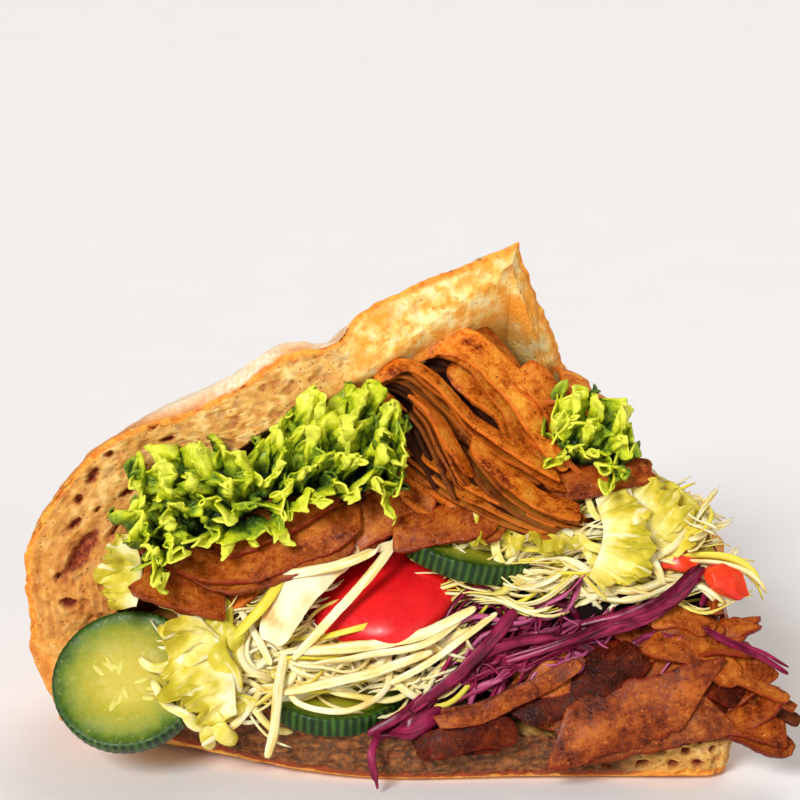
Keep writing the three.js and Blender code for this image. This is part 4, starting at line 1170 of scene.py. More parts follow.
def strewn_slices(name, opening, outward, seed, width, steps=40, columns=10, **places):
    """Loose slices of drawn widths, strewn over an opening."""
    lines = strewn_lines(opening, seed=seed, steps=steps, **places)
    draw = np.random.default_rng(seed + 100)
    widths = draw.uniform(*width, (len(lines), 1)) * np.ones((1, steps))
    faces = drawn_faces(lines, outward, seed, tilt=0.3, twist=0.6)
    return carve(name, lines, faces, widths, seed, columns)


def end_slices(name, ends, seed):
    """Named slices at the right-hand end: width, facing, and route on the cut side."""
    share = np.linspace(0, 1, END_STEPS)
    lines = np.stack([by_length(line_through(on_side, places), share) for _, _, places in ends])
    faces = np.stack([np.broadcast_to(face, (END_STEPS, 3)) for _, face, _ in ends]).astype(float)
    widths = np.array([[width] for width, _, _ in ends], float) * np.ones((1, END_STEPS))
    return carve(name, lines, faces, widths, seed)


def at_end(reach, sag=0.0):
    """The upright right-hand end of a heap as an opening: back, up, and how far it stands proud."""

    def place(y, z, proud=0.0):
        sunk = sag * np.maximum(0, y - SAG_BEHIND)
        return np.stack(np.broadcast_arrays(reach + proud, y, z - sunk), axis=-1)

    return place


def on_top(height, sag):
    """The level top of a heap as an opening: across, back, and how far it stands proud."""

    def place(x, y, proud=0.0):
        sunk = sag * step(*SAG_FROM, x) * np.maximum(0, y - SAG_BEHIND)
        return np.stack(np.broadcast_arrays(x, y, height + proud - sunk), axis=-1)

    return place


BOTTOM_ENDS = [
    (14, (1, -0.2, 0.2), [(22, 24, 1), (36, 30, 2), (50, 25, 2), (62, 27, 1)]),
    (12, (1, 0, 0.5), [(34, 37, 1), (50, 38, 3), (68, 34, 1)]),
    (11, (1, 0.1, 0.3), [(48, 21, 2), (62, 22, 3), (76, 28, -1)]),
]
TOP_ENDS = [
    (11, (0.5, 0, 0.85), [(46, 89, 0), (58, 92, 1), (72, 88, 0)]),
    (9, (0.5, 0, 0.85), [(42, 99, -6), (56, 102, -5), (70, 97, -7)]),
]
bottom_body = packed_body(
    "meat_bottom_body",
    low=[(8, 17), (40, 16.5), (88, 17)],
    high=[(8, 30), (45, 41), (88, 46)],
    far=[(8, 90), (50, 93), (88, 82)],
    inset=3,
    seed=11,
)
bottom_loose = [
    strewn_slices(
        "loose_front", in_mouth, (0, -0.7, 0.7), 61, (6, 11), count=26,
        along=(40, 86), up=(19, 36), lean=(-0.2, 0.8), length=(22, 42), proud=(-1, 2.5),
    ),
    strewn_slices(
        "loose_side", at_end(88), (1, -0.1, 0.4), 62, (5, 10), count=26,
        along=(20, 74), up=(18, 46), lean=(-0.4, 0.4), length=(18, 32), proud=(0, 3.5),
    ),
    end_slices("ends", BOTTOM_ENDS, 63),
]
serve_all("kebab_meat_bottom", [bottom_body, *bottom_loose], meats["brown"], "carved_meat")

top_body = packed_body(
    "meat_top_body",
    low=[(-62, 52), (-20, 62), (20, 66), (66, 72)],
    high=[(-62, 62), (-20, 88), (16, 112), (66, 84)],
    far=[(-62, 60), (-20, 84), (20, 94), (66, 92)],
    inset=4,
    seed=13,
)
top_loose = [
    strewn_slices(
        "loose_left", in_mouth, (0, -0.6, 0.8), 64, (7, 12), count=14,
        along=(-60, -16), up=(55, 72), lean=(-0.1, 0.5), length=(22, 40), proud=(-1, 2),
    ),
    strewn_slices(
        "loose_middle", in_mouth, (0.3, -0.6, 0.7), 65, (5, 10), count=22,
        along=(-10, 46), up=(72, 100), lean=(-1.0, -0.4), length=(22, 38), proud=(-2, 1.5),
    ),
    strewn_slices(
        "loose_end", on_side, (0.6, 0, 0.8), 66, (6, 10), count=14,
        along=(40, 66), up=(73, 88), lean=(-0.4, 0.1), length=(16, 26), proud=(-6, 0),
    ),
    end_slices("ends", TOP_ENDS, 67),
]
serve_all("kebab_meat_top", [top_body, *top_loose], meats["glazed"], "carved_meat")

# %% [markdown]
# White cabbage is shaved into long shreds, 1 to 3 mm wide, pale yellow to white. Some lie in small
# bundles as they came off the knife, others curl into loops. The shreds are slightly see-through,
# which a little subsurface light stands for.

# %% Cabbage shreds
SHRED_THICKNESS = 0.38


def shreds(name, lines, faces, widths, seed, columns=2, crumple=0.0, tint=None):
    """Cabbage shreds along these lines: flat, thin, slightly cupped ribbons."""
    widths = widths * ends_rounded(lines.shape[1], 0.3, 6)
    piece = lay_strips(name, lines, faces, widths, columns, 0.1, ragged=0.12, wave=0.2 + crumple, seed=seed)
    if crumple:
        push(piece, crumple * bumps(recipe_spots(piece), (0.5, 5, seed), (0.3, 2.2, seed + 3)))
    if tint is not None:
        note(piece, "tint", tint)
    apply(piece, "SOLIDIFY", thickness=SHRED_THICKNESS * MM, offset=0)
    return piece


def strewn_shreds(name, opening, outward, seed, width, bundle=1, steps=18, twist=1.6, **places):
    """Loose shreds, in bundles. Most are narrow, a few as wide as the second number of `width`."""
    lines = strewn_lines(opening, seed=seed, steps=steps, **places)
    draw = np.random.default_rng(seed + 100)
    widths = width[0] + (width[1] - width[0]) * draw.random((len(lines), 1)) ** 2.2
    widths = widths * np.ones((1, steps))
    faces = drawn_faces(lines, outward, seed, twist=twist)
    if bundle > 1:
        lines, widths = fanned(lines, widths, bundle - 1, 0.9, seed + 200)
        faces = np.repeat(faces, bundle, axis=0)
    return shreds(name, lines, faces, widths, seed)


def named_shreds(name, recipe, seed, extra=0, tint=0.3, face=(0.1, -1, 0.4), steps=60):
    """Shreds with their own routes, each (width, [(across, up, proud), ...])."""
    share = np.linspace(0, 1, steps)
    lines = np.stack([by_length(line_through(in_mouth, places), share) for _, places in recipe])
    widths = np.array([[width] for width, _ in recipe], float) * np.ones((1, steps))
    if extra:
        lines, widths = fanned(lines, widths, extra, 0.28, seed + 200)
    return shreds(name, lines, drawn_faces(lines, face, seed, 0.25, 0.8), widths, seed, 6, 0.15, tint)


def leaf_pattern():
    """What all cut leaves share: streaks along them, blotches, painted light and shade on folds, and which
    pieces are other.
    """
    paint = Shared("leaf_pattern", Blotches=0.5, Folds=0.2)
    streak = paint.noise(1.1, 3, 0.55, paint.stretch(paint.map, (1, 0.1, 1)))
    blotch = paint.noise(8, 3, 0.5)
    level = paint.mix(paint.given["Blotches"], streak, blotch)
    # The folds add painted light and shade to the level.
    return paint.give(
        Level=paint.sum(level, paint.swing(paint.noted("fold"), paint.given["Folds"])),
        Other=paint.window(paint.noted("tint"), 0.66, 0.95),
        Streak=streak,
        Blotch=blotch,
    )


leaf_group = leaf_pattern()


def leaf_paint(name, light, middle, dark, edge, deep, roughness=0.4, glow=0.15, streaks=0.5, folds=0.2):
    """A pale moist leaf: three tones, streaks along it, painted light and shade on its folds, some pieces
    of another colour, and painted shade in the depths.
    """
    paint = Surface(name, Subsurface_Weight=glow, Subsurface_Scale=0.002, Specular_IOR_Level=0.25)
    leaf = paint.use(leaf_group, Blotches=1 - streaks, Folds=folds)
    colour = paint.ramp(leaf["Level"], (0.34, dark), (0.46, middle), (0.6, light))
    colour = paint.mix(leaf["Other"], colour, edge)
    # Painted shade: where the deep note is set, as on the body of a heap, the leaf takes the dark colour of
    # the depths.
    colour = paint.mix(paint.noted("deep"), colour, deep)
    rough = paint.ramp(leaf["Blotch"], (0.4, roughness - 0.08), (0.6, roughness + 0.12))
    rough = paint.sum(rough, paint.noted("deep"), "MAXIMUM")
    return paint.finish(colour, rough, paint.bump(leaf["Streak"], 0.12, 0.5))


white_paint = leaf_paint(
    "white_cabbage_skin",
    (255, 244, 204), (252, 228, 150), (236, 190, 96), (236, 216, 70), (160, 108, 40),
    streaks=0.7,
)
WHITE_SHREDS = [
    (3, [(-30, 37, 5), (-16, 39, 8), (4, 42, 8), (20, 48, 5)]),
    (2, [(-26, 34, 6), (-12, 37, 8), (6, 40, 8), (16, 45, 5)]),
    (2.6, [(-34, 27, 6), (-22, 30, 8), (-8, 33, 8), (8, 37, 5)]),
    (2, [(-4, 29, 5), (6, 34, 6), (16, 40, 5), (26, 46, 3)]),
    (2.6, [(-1, 66, 3), (-8, 59, 9), (-21, 46, 9), (-31, 35, 5)]),
    (2.8, [(-45, 55, 4), (-35, 57, 8), (-18, 60, 9), (-3, 64, 4)]),
    (2.4, [(62, 79, 2), (66, 68, 7), (73, 53, 3)]),
    (2.4, [(82, 69, 1), (74, 63, 6), (62, 57, 2)]),
    (2.7, [(-33, 37, 3), (-35, 28, 8), (-36, 18, 8), (-38, 11, 6)]),
    (2, [(-40, 26, 2), (-46, 20, 6), (-56, 14, 6)]),
    (1.8, [(-33, 30, 2), (-30, 25, 6), (-16, 23, 7), (-5, 28, 6), (-4, 36, 3)]),
    (2, [(-46, 47, 3), (-41, 41, 6), (-37, 34, 6)]),
]
white_body = packed_body(
    "white_body",
    low=[(-80, 30), (-50, 19), (-20, 18), (8, 36), (50, 48), (84, 51)],
    high=[(-80, 42), (-50, 50), (-20, 58), (20, 62), (50, 69), (84, 70)],
    far=[(-80, 36), (-50, 72), (-20, 88), (20, 94), (50, 92), (84, 84)],
    inset=4,
    seed=7,
    sag=0.24,
)
YELLOW_SHREDS = [
    (3, [(-34, 56, 7), (-39, 50, 9), (-48, 41, 8)]),
    (1.6, [(-24, 40, 5), (-12, 44, 8), (-2, 45, 5)]),
]
white_loose = [
    named_shreds("named", WHITE_SHREDS, 70),
    named_shreds("yellow", YELLOW_SHREDS, 75, tint=0.95),
    strewn_shreds(
        "middle", in_mouth, (0, -1, 0.4), 71, (0.8, 2.5), count=105, bundle=2,
        along=(-42, 18), up=(26, 43), lean=(-0.5, 0.7), length=(14, 38), proud=(-1, 4), bend=0.035,
    ),
    strewn_shreds(
        "under_rib", in_mouth, (0, -1, 0.4), 76, (0.9, 2.8), count=30, bundle=2,
        along=(-48, -28), up=(36, 60), lean=(-0.2, 1.2), length=(14, 30), proud=(-1, 3), bend=0.03,
    ),
    strewn_shreds(
        "left", in_mouth, (0, -1, 0.4), 72, (0.8, 2.8), count=44, bundle=2,
        along=(-64, -42), up=(20, 48), lean=(-1.3, 0.6), length=(14, 30), proud=(1, 6), bend=0.05,
    ),
    strewn_shreds(
        "right", in_mouth, (0, -1, 0.4), 73, (0.9, 2.8), count=60, bundle=3,
        along=(20, 82), up=(48, 68), lean=(-0.35, 0.5), length=(20, 46), proud=(-1, 4), bend=0.02,
    ),
    strewn_shreds(
        "side", at_end(83, 0.24), (1, 0, 0.3), 74, (1.0, 3.4), count=66, bundle=2,
        along=(28, 74), up=(51, 69), lean=(-0.6, 0.3), length=(14, 28), proud=(0, 3), bend=0.03, steps=14,
    ),
    strewn_shreds(
        "top", on_top(69, 0.24), (0, 0, 1), 77, (1.0, 3.2), count=70, bundle=2,
        along=(56, 82), up=(26, 84), lean=(-0.9, 0.9), length=(14, 28), proud=(0, 3), bend=0.03, steps=14,
    ),
]
serve_all("white_cabbage", [white_body, *white_loose], white_paint, "white_cabbage")

# %% [markdown]
# Red cabbage is purple only in its skin. Where the knife went through, a shred is paler and pink, so
# the colour changes from shred to shred and along each one.

# %% Red cabbage
red_paint = leaf_paint(
    "red_cabbage_skin",
    (158, 34, 78), (98, 12, 42), (38, 4, 12), (190, 90, 132), (22, 4, 6),
    roughness=0.26, glow=0.02, streaks=0.5, folds=0.5,
)
RED_SHREDS = [
    (4, [(31, 47, 4), (24, 40, 7), (15, 32, 7), (2, 22, 5)]),
    (4.5, [(84, 58, 5), (74, 51, 8), (62, 46, 7), (49, 42, 4)]),
    (2.6, [(82, 55, 5), (68, 46, 7), (52, 41, 6), (34, 33, 4)]),
    (2, [(70, 47, 3), (56, 44, 7), (42, 39, 7), (28, 34, 4)]),
    (3, [(13, 27, 3), (26, 38, 6), (44, 40, 5), (56, 34, 1)]),
    (6, [(-8, 15, 4), (2, 18, 5), (11, 21, 2)]),
    (2.2, [(-6, 18, 3), (-9, 12, 6), (-8, 5, 5)]),
    (1.6, [(84, 42, 4), (92, 38, 4), (100, 35, 4), (107, 31, 4)]),
]
red_body = packed_body(
    "red_body",
    low=[(6, 24), (40, 32), (84, 45)],
    high=[(6, 35), (45, 46), (84, 55)],
    far=[(6, 36), (84, 46)],
    inset=2,
    seed=3,
)
red_loose = [
    named_shreds("named", RED_SHREDS, 80, extra=3),
    strewn_shreds(
        "front", in_mouth, (0, -1, 0.4), 81, (1.0, 2.8), count=50, bundle=2,
        along=(12, 74), up=(28, 47), lean=(0.1, 0.8), length=(18, 40), proud=(-1, 4), bend=0.04,
    ),
    strewn_shreds(
        "loops", in_mouth, (0, -1, 0.4), 84, (0.8, 1.8), count=48, steps=22,
        along=(14, 52), up=(29, 42), lean=(-0.4, 1.0), length=(14, 28), proud=(0, 5), bend=0.1,
    ),
    strewn_shreds(
        "side", at_end(84), (1, 0, 0.3), 83, (1.2, 3.4), count=26, bundle=2,
        along=(24, 74), up=(43, 53), lean=(-0.4, 0.4), length=(14, 30), proud=(0, 4), bend=0.04,
    ),
]
serve_all("red_cabbage", [red_body, *red_loose], red_paint, "red_cabbage")

# %% [markdown]
# ## Frilly lettuce
# A frilly leaf grows faster at its rim than in its middle, so the rim has too much length and folds
# into ruffles, with smaller ruffles on those, and smaller ones again. We bend a fine grid the same
# way: from a smooth root line to a rim line, with sets of waves that all grow towards the rim. Each
# wave swings out and also along the rim, so that the folds overhang as real ones do.

# %% Frilly leaves
FRILL_THICKNESS, FRILL_ROWS, FORWARD = 0.5, 24, 0.5


def frilly_leaf(name, root, rim, columns, rows, waves, roll, seed, thickness=FRILL_THICKNESS):
    """A leaf from its root line to its rim line. Each wave: length and depth in mm, growth, overhang."""
    piece, u, v = blank_grid(name, columns, rows)
    share = np.linspace(0, 1, columns + 1)
    low, high = (by_length(line_through(in_mouth, places), share) for places in (root, rim))
    length = np.linalg.norm(np.diff(high, axis=0), axis=1).sum()
    column = np.tile(np.arange(columns + 1), rows + 1)
    along = unit(np.gradient(high, axis=0))[column]
    low, high = low[column], high[column]
    rise = unit(high - low)
    out = unit(np.cross(along, rise))
    v = v[:, None]
    tall = np.linalg.norm(high - low, axis=1)[:, None]
    walk = np.column_stack([u * length, v * tall, np.full_like(u, seed * 7.1)])
    rim_walk = walk * (1, 0, 1)
    rough = lambda size, number: wander(walk, size, seed + number)[:, None]
    teeth = bumps(rim_walk, (0.14, 3.1, seed), (0.12, 1.2, seed + 1))[:, None]
    points = low + (high - low) * v * (1 + teeth * v) + out * roll * v**2.2
    swing = np.zeros_like(v)
    for number, (wave, depth, growth, overhang) in enumerate(waves):
        phase = 2 * np.pi * (u[:, None] * length / wave) + 2.6 * rough(wave * 1.1, 10 + number) + seed
        size = depth * v**growth * (1 + 0.5 * rough(wave * 1.6, 20 + number))
        points = points + out * size * (np.sin(phase) + FORWARD)
        points = points + along * size * overhang * np.sin(2 * phase)
        points = points + rise * size * 0.4 * np.cos(1.3 * phase + 3 * rough(wave, 30 + number))
        swing = swing + size * np.sin(phase)
    points = points + out * 1.1 * v * rough(2.6, 40) + along * 0.8 * v * rough(2.1, 41)
    lay(piece, points)
    true_size_map(piece, u * length, (v * tall).ravel())
    note(piece, "rim", v.ravel())
    # The fold note steers painted light and shade on the ruffles.
    note(piece, "fold", np.clip(0.5 + 0.13 * swing.ravel(), 0, 1))
    apply(piece, "SOLIDIFY", thickness=thickness * MM, offset=0)
    return piece


# A thin moist leaf lets a little light through and shines softly.
LEAF_GLOW = {"Subsurface_Scale": 0.002, "Specular_IOR_Level": 0.3}


def frill_paint():
    """Yellow green at the rim and darker towards the root, the leaf's own colour and painted shade both;
    lighter on the folds and dark green in the hollows, as painted light and shade.
    """
    paint = Surface("frilly_lettuce_skin", Subsurface_Weight=0.1, **LEAF_GLOW)
    rim, fold = paint.noted("rim"), paint.noted("fold")
    vein = paint.noise(1.6, 3, 0.6, paint.stretch(paint.map, (1, 0.3, 1)))
    blotch, fine = paint.noise(9, 3, 0.55), paint.noise(1.5, 3, 0.55)
    # Painted light and shade: lighter towards the rim and on the folds, darker in the hollows and towards
    # the root.
    lit = paint.sum(paint.times(rim, 0.6), paint.times(fold, 0.52))
    lit = paint.sum(lit, paint.swing(fine, 0.5))
    lit = paint.sum(lit, paint.swing(blotch, 0.8))
    colour = paint.ramp(
        lit,
        (0.36, (24, 44, 22)),
        (0.53, (78, 108, 38)),
        (0.70, (152, 174, 34)),
        (0.85, (212, 218, 36)),
        (1.00, (238, 240, 82)),
    )
    colour = paint.mix(paint.window(vein, 0.62, 0.78), colour, (208, 210, 96))
    height = paint.mix(0.5, vein, fine)
    return paint.finish(colour, paint.ramp(fine, (0.4, 0.3), (0.6, 0.5)), paint.bump(height, 0.3, 0.7))


def tier(places, down, forward, trim=0.0):
    """The same line, lowered and brought forward, for the next leaf in front."""
    return [(x * (1 - trim), z - down, proud + forward) for x, z, proud in places]


frill = frill_paint()
LEFT_ROOT = [(-70, 62, 3), (-55, 68, 3), (-38, 75, 2), (-20, 79, 2), (-4, 81, 2)]
LEFT_RIM = [
    (-80, 74, 12), (-73, 86, 11), (-57, 91, 10), (-43, 91, 9),
    (-31, 100, 10), (-18, 103, 9), (-4, 102, 8), (3, 94, 8),
]
RIGHT_ROOT = [(42, 86, -2), (48, 85, -2), (54, 84, -1), (58, 83, 0)]
RIGHT_RIM = [(38, 97, 3), (44, 102, 3), (56, 102, 3), (65, 95, 4), (65, 88, 5)]
# Each wave: its length, its depth at the rim, how late it grows, and its overhang.
WAVES = [(12, 3.6, 0.8, 0.5), (5.2, 2.2, 1.0, 0.6), (2.3, 1.0, 1.3, 0.6), (1.3, 0.35, 1.6, 0.5)]


def frilly_head(name, root, rim, tiers, seed, columns=520):
    """Leaves one in front of the other, each lower and further forward than the last."""
    leaves = []
    for number in range(tiers):
        low = tier(root, number, 0.8 * number)
        high = tier(rim, 5.5 * number, 1.6 * number, 0.015 * number)
        fewer, roll = columns - 30 * number, 1.5 + 1.0 * number
        leaf = frilly_leaf(f"{name}_{number}", low, high, fewer, FRILL_ROWS, WAVES, roll, seed + number)
        leaves.append(leaf)
    return leaves


left_leaves = frilly_head("frilly_left", LEFT_ROOT, LEFT_RIM, 4, 4)
serve_all("frilly_lettuce_left", left_leaves, frill, "green_lettuce")
right_leaves = frilly_head("frilly_right", RIGHT_ROOT, RIGHT_RIM, 3, 9, 320)
serve_all("frilly_lettuce_right", right_leaves, frill, "green_lettuce")

# %% [markdown]
# ## Iceberg lettuce
# Iceberg leaves are crisp and pale: white along the rib, yellow green at the rim, with fine white
# veins that run from one to the other. They ruffle less than frilly lettuce, in longer waves. Each
# leaf lies along its own route, with its rim on the left of it, and torn bits lie over it.

# %% Iceberg lettuce
LEAF_THICKNESS, LEAF_TAPER, LEAF_COLUMNS, LEAF_ROWS, BIT_STEPS = 0.4, 0.45, 150, 40, 24
# Each leaf: its width, how many torn bits lie on it, and its route.
ICEBERG = {
    "pale_leaf_left": (12, 0, [(-77, 49, 9), (-79, 58, 8), (-78, 67, 7)]),
    "iceberg_leaf_left": (19, 16, [(-50, 21, 9), (-57, 34, 9), (-62, 46, 7)]),
    "iceberg_leaf_middle": (13, 8, [(47, 64, 4), (27, 69, 3), (8, 69, 2)]),
    "iceberg_fold_right": (13, 5, [(56, 77, 4), (62, 70, 6), (61, 61, 6), (54, 54, 5)]),
    "iceberg_leaf_right": (15, 9, [(66, 77, 2), (73, 69, 3), (79, 62, 3)]),
}
ICEBERG_WAVES = [(17, 1.9, 0.5, 0.3), (7.5, 1.1, 0.9, 0.4), (3.2, 0.45, 1.2, 0.4)]


def torn_bits(name, count, places, width, seed):
    """Narrower torn pieces of the same leaf, strewn round its own route."""
    across, up, proud = np.array(places, float).T
    lines = strewn_lines(
        in_mouth, count, seed, bend=0.05, steps=BIT_STEPS, lean=(-1.4, 0.6), length=(12, 26),
        along=(across.min() - 4, across.max() + 1),
        up=(up.min(), up.max() - 3),
        proud=(proud.min() - 2, proud.max() + 1),
    )
    faces = np.array([0, -1, 0.4]) * np.ones(lines.shape)
    widths = np.random.default_rng(seed).uniform(0.1, 0.3, (count, 1)) * width * np.ones((1, BIT_STEPS))
    bits = shreds(name, lines, faces, widths, seed, columns=8, crumple=0.6)
    note(bits, "rim", 0.7 * noted(bits, "tint"))
    return bits


def beside(places, reach):
    """A route's own line, moved to its left by `reach` mm, less so at its two ends."""
    line = np.array(places, float)
    run = unit(np.gradient(line[:, :2], axis=0))
    taper = np.full(len(line), 1.0)
    taper[[0, -1]] = LEAF_TAPER
    line[:, :2] += np.column_stack([-run[:, 1], run[:, 0]]) * (reach * taper)[:, None]
    return [tuple(place) for place in line]


def iceberg_paint():
    """Cream to yellow green from root to rim, with white veins, and painted light and shade along the
    folds.
    """
    paint = Surface("iceberg_leaf_skin", Subsurface_Weight=0.12, **LEAF_GLOW)
    rim, fold = paint.noted("rim"), paint.noted("fold")
    vein = paint.noise(2.4, 3, 0.6, paint.stretch(paint.map, (1, 0.14, 1)), warp=0.3)
    blotch, fine = paint.noise(7, 3, 0.55), paint.noise(1.2, 3, 0.55)
    # The folds shift the tone, as painted light and shade.
    lit = paint.sum(paint.times(rim, 0.5), paint.times(fold, 0.5))
    lit = paint.sum(lit, paint.swing(blotch, 1.1))
    colour = paint.ramp(
        lit,
        (0.16, (252, 240, 196)),
        (0.36, (246, 228, 132)),
        (0.56, (226, 206, 66)),
        (0.78, (192, 176, 40)),
    )
    colour = paint.mix(paint.times(paint.window(vein, 0.56, 0.68), 0.7), colour, (254, 244, 208))
    height = paint.mix(0.5, vein, fine)
    return paint.finish(colour, paint.ramp(fine, (0.4, 0.28), (0.6, 0.46)), paint.bump(height, 0.25, 0.6))


iceberg = iceberg_paint()
for seed, (name, (width, count, places)) in enumerate(ICEBERG.items()):
    root, rim = beside(places, -width / 2), beside(places, width / 2)
    leaf = frilly_leaf(
        name + "_leaf", root, rim, LEAF_COLUMNS, LEAF_ROWS, ICEBERG_WAVES, 1.0, seed + 40, LEAF_THICKNESS
    )
    bits = [torn_bits(name + "_bits", count, places, width, seed + 60)] if count else []
    serve_all(name, [leaf, *bits], iceberg, "pale_lettuce")

# %% [markdown]
# ## The rib of a white cabbage leaf
# One thick flat piece is the rib of a cabbage leaf. It is stiff, so it only bows a little, and it is
# cream with a warmer tint in places.

# %% White cabbage rib
RIB_WIDTH, RIB_THICKNESS, RIB_EDGE, RIB_FACE, RIB_STEPS = 10, 1.2, 0.25, (-0.3, -0.9, 0.2), 72
RIB_ROUTE = [(-14, 64, 4), (-23, 58, 6), (-32, 49, 7), (-37, 40, 7)]
rib_paint = leaf_paint(
    "white_cabbage_rib_skin",
    (252, 238, 204), (248, 222, 162), (236, 176, 100), (255, 246, 220), (150, 96, 40),
    streaks=0.15,
)
line = by_length(line_through(in_mouth, RIB_ROUTE), np.linspace(0, 1, RIB_STEPS))[None]
widths = RIB_WIDTH * ends_rounded(RIB_STEPS, 0.45, 7, 0.7)[None]
rib = lay_strips(
    "rib_leaf", line, np.broadcast_to(RIB_FACE, line.shape), widths,
    columns=32, cup=0.05, ragged=0.07, wave=0.7, seed=45,
)
note(rib, "tint", 0.4)
push(rib, bumps(recipe_spots(rib), (0.3, 5.5, 5)))
apply(rib, "SOLIDIFY", thickness=RIB_THICKNESS * MM, offset=0)
blunt(rib, RIB_EDGE, 2)
serve_all("white_cabbage_rib", [rib], rib_paint, "white_cabbage")

# %% [markdown]
# ## Cucumber
# A slice of cucumber has a dark green peel with fine ribs, a band of firm pale green flesh, and a
# softer middle where flat seeds lie in three groups. We start from a cylinder, inset its faces ring
# by ring, press the ribs into its edge, and scatter real seeds over the middle.

# %% Cucumber slices
CUCUMBER_RADIUS, CUCUMBER_SQUASH, CUCUMBER_THICKNESS = 21.3, 0.95, 5.5
RIBS, RIB_DEPTH, SIDES = 56, 0.16, 336
SEEDS, SEED_RING, SEED_SUNK, EDGE_BEVEL = 20, 10.0, 0.36, 0.4
FACE_RINGS = [0.5, 0.7, 0.9, 1.1, 1.4, 1.8] + [2.0] * 6
# Each slice: the way its face looks, and its middle.
CUCUMBERS = {
    "cucumber_slice_left": ((-0.12, -0.74, 0.66), (-77, 7, 28)),
    "cucumber_slice_low": ((0.03, -0.2, 0.97), (-19.5, 18, 21.5)),
    "cucumber_slice_middle": ((0.22, -0.12, 0.97), (18, 34, 60)),
}


def lay_flat(piece, places):
    """Put the piece's points at these places in mm round the origin, where it is shaped."""
    lay(piece, places - SHIFT)


def stand_at(piece, normal, middle):
    """Turn a piece that was shaped flat at the origin, and move it to its place, in its mesh."""
    turn = Vector((0, 0, 1)).rotation_difference(Vector(normal)).to_matrix()
    places = spots(piece) / MM @ np.array(turn).T
    lay(piece, places + np.array(middle))


def cucumber_slice(name, seed):
    """A slice that lies flat at the origin."""
    bpy.ops.object.select_all(action="DESELECT")
    bpy.ops.mesh.primitive_cylinder_add(
        vertices=SIDES,
        radius=CUCUMBER_RADIUS * MM,
        depth=CUCUMBER_THICKNESS * MM,
        end_fill_type="NGON",
    )
    piece = named(name)
    bpy.ops.object.mode_set(mode="EDIT")
    bpy.ops.mesh.select_all(action="DESELECT")
    bpy.ops.mesh.select_mode(type="FACE")
    bpy.ops.object.mode_set(mode="OBJECT")
    for face in piece.data.polygons:
        face.select = len(face.vertices) > 4
    bpy.ops.object.mode_set(mode="EDIT")
    for ring in FACE_RINGS:
        bpy.ops.mesh.inset(thickness=ring * MM, use_even_offset=True)
    bpy.ops.mesh.poke()
    bpy.ops.object.mode_set(mode="OBJECT")
    apply(piece, "BEVEL", width=EDGE_BEVEL * MM, segments=2, limit_method="ANGLE")
    places = spots(piece) / MM
    radius = np.hypot(places[:, 0], places[:, 1])
    angle = np.arctan2(places[:, 1], places[:, 0])
    rim = step(0.9, 0.99, radius / CUCUMBER_RADIUS)
    rib = RIB_DEPTH * (0.5 - 0.5 * np.cos(RIBS * angle) + 0.3 * wander(places, 2.5, seed))
    out = 1 - rim * rib / np.maximum(radius, 1)
    face = np.sign(places[:, 2]) * (np.abs(places[:, 2]) > 1)
    soft = step(11.5, 8, radius) * (1 - rim)
    swell = 0.15 * wander(places, 5, seed + 1) + 0.22 * soft * wander(places, 1.6, seed + 2) - 0.25 * soft
    swell += 0.35 * step(18, 20.3, radius) * step(21.2, 20.4, radius)
    x, y, z = places.T
    places = np.column_stack([x * out, y * out * CUCUMBER_SQUASH, z + face * swell])
    note(piece, "radius", radius / CUCUMBER_RADIUS)
    note(piece, "rib", np.clip(0.5 + 0.5 * np.cos(RIBS * angle) + 0.35 * wander(places, 2.5, seed), 0, 1))
    note(piece, "seed", 0)
    lay_flat(piece, places)
    return piece


def cucumber_seeds(name, seed):
    """Flat seeds that point at the middle, in three groups, on both faces of the slice."""
    draw = np.random.default_rng(seed)
    copies = []
    for number in range(SEEDS):
        bpy.ops.object.select_all(action="DESELECT")
        bpy.ops.mesh.primitive_uv_sphere_add(segments=12, ring_count=8, radius=1 * MM)
        one = named(f"{name}_{number}")
        group = (number % 3) * 2 * math.pi / 3 + draw.normal(0, 0.6)
        away = SEED_RING * draw.uniform(0.3, 0.95)
        places = spots(one) / MM * (draw.uniform(2.2, 3.0), draw.uniform(0.8, 1.1), 0.42)
        places[:, 1] *= 1 - 0.25 * places[:, 0] / 3
        turn = group + draw.normal(0, 0.3)
        x = places[:, 0] * math.cos(turn) - places[:, 1] * math.sin(turn) + away * math.cos(group)
        y = places[:, 0] * math.sin(turn) + places[:, 1] * math.cos(turn) + away * math.sin(group)
        level = (CUCUMBER_THICKNESS / 2 - SEED_SUNK) * (1 if number % 2 else -1)
        lay_flat(one, np.column_stack([x, y * CUCUMBER_SQUASH, places[:, 2] + level]))
        note(one, "radius", 0.4)
        note(one, "seed", 1)
        note(one, "rib", 0)
        copies.append(one)
    return copies


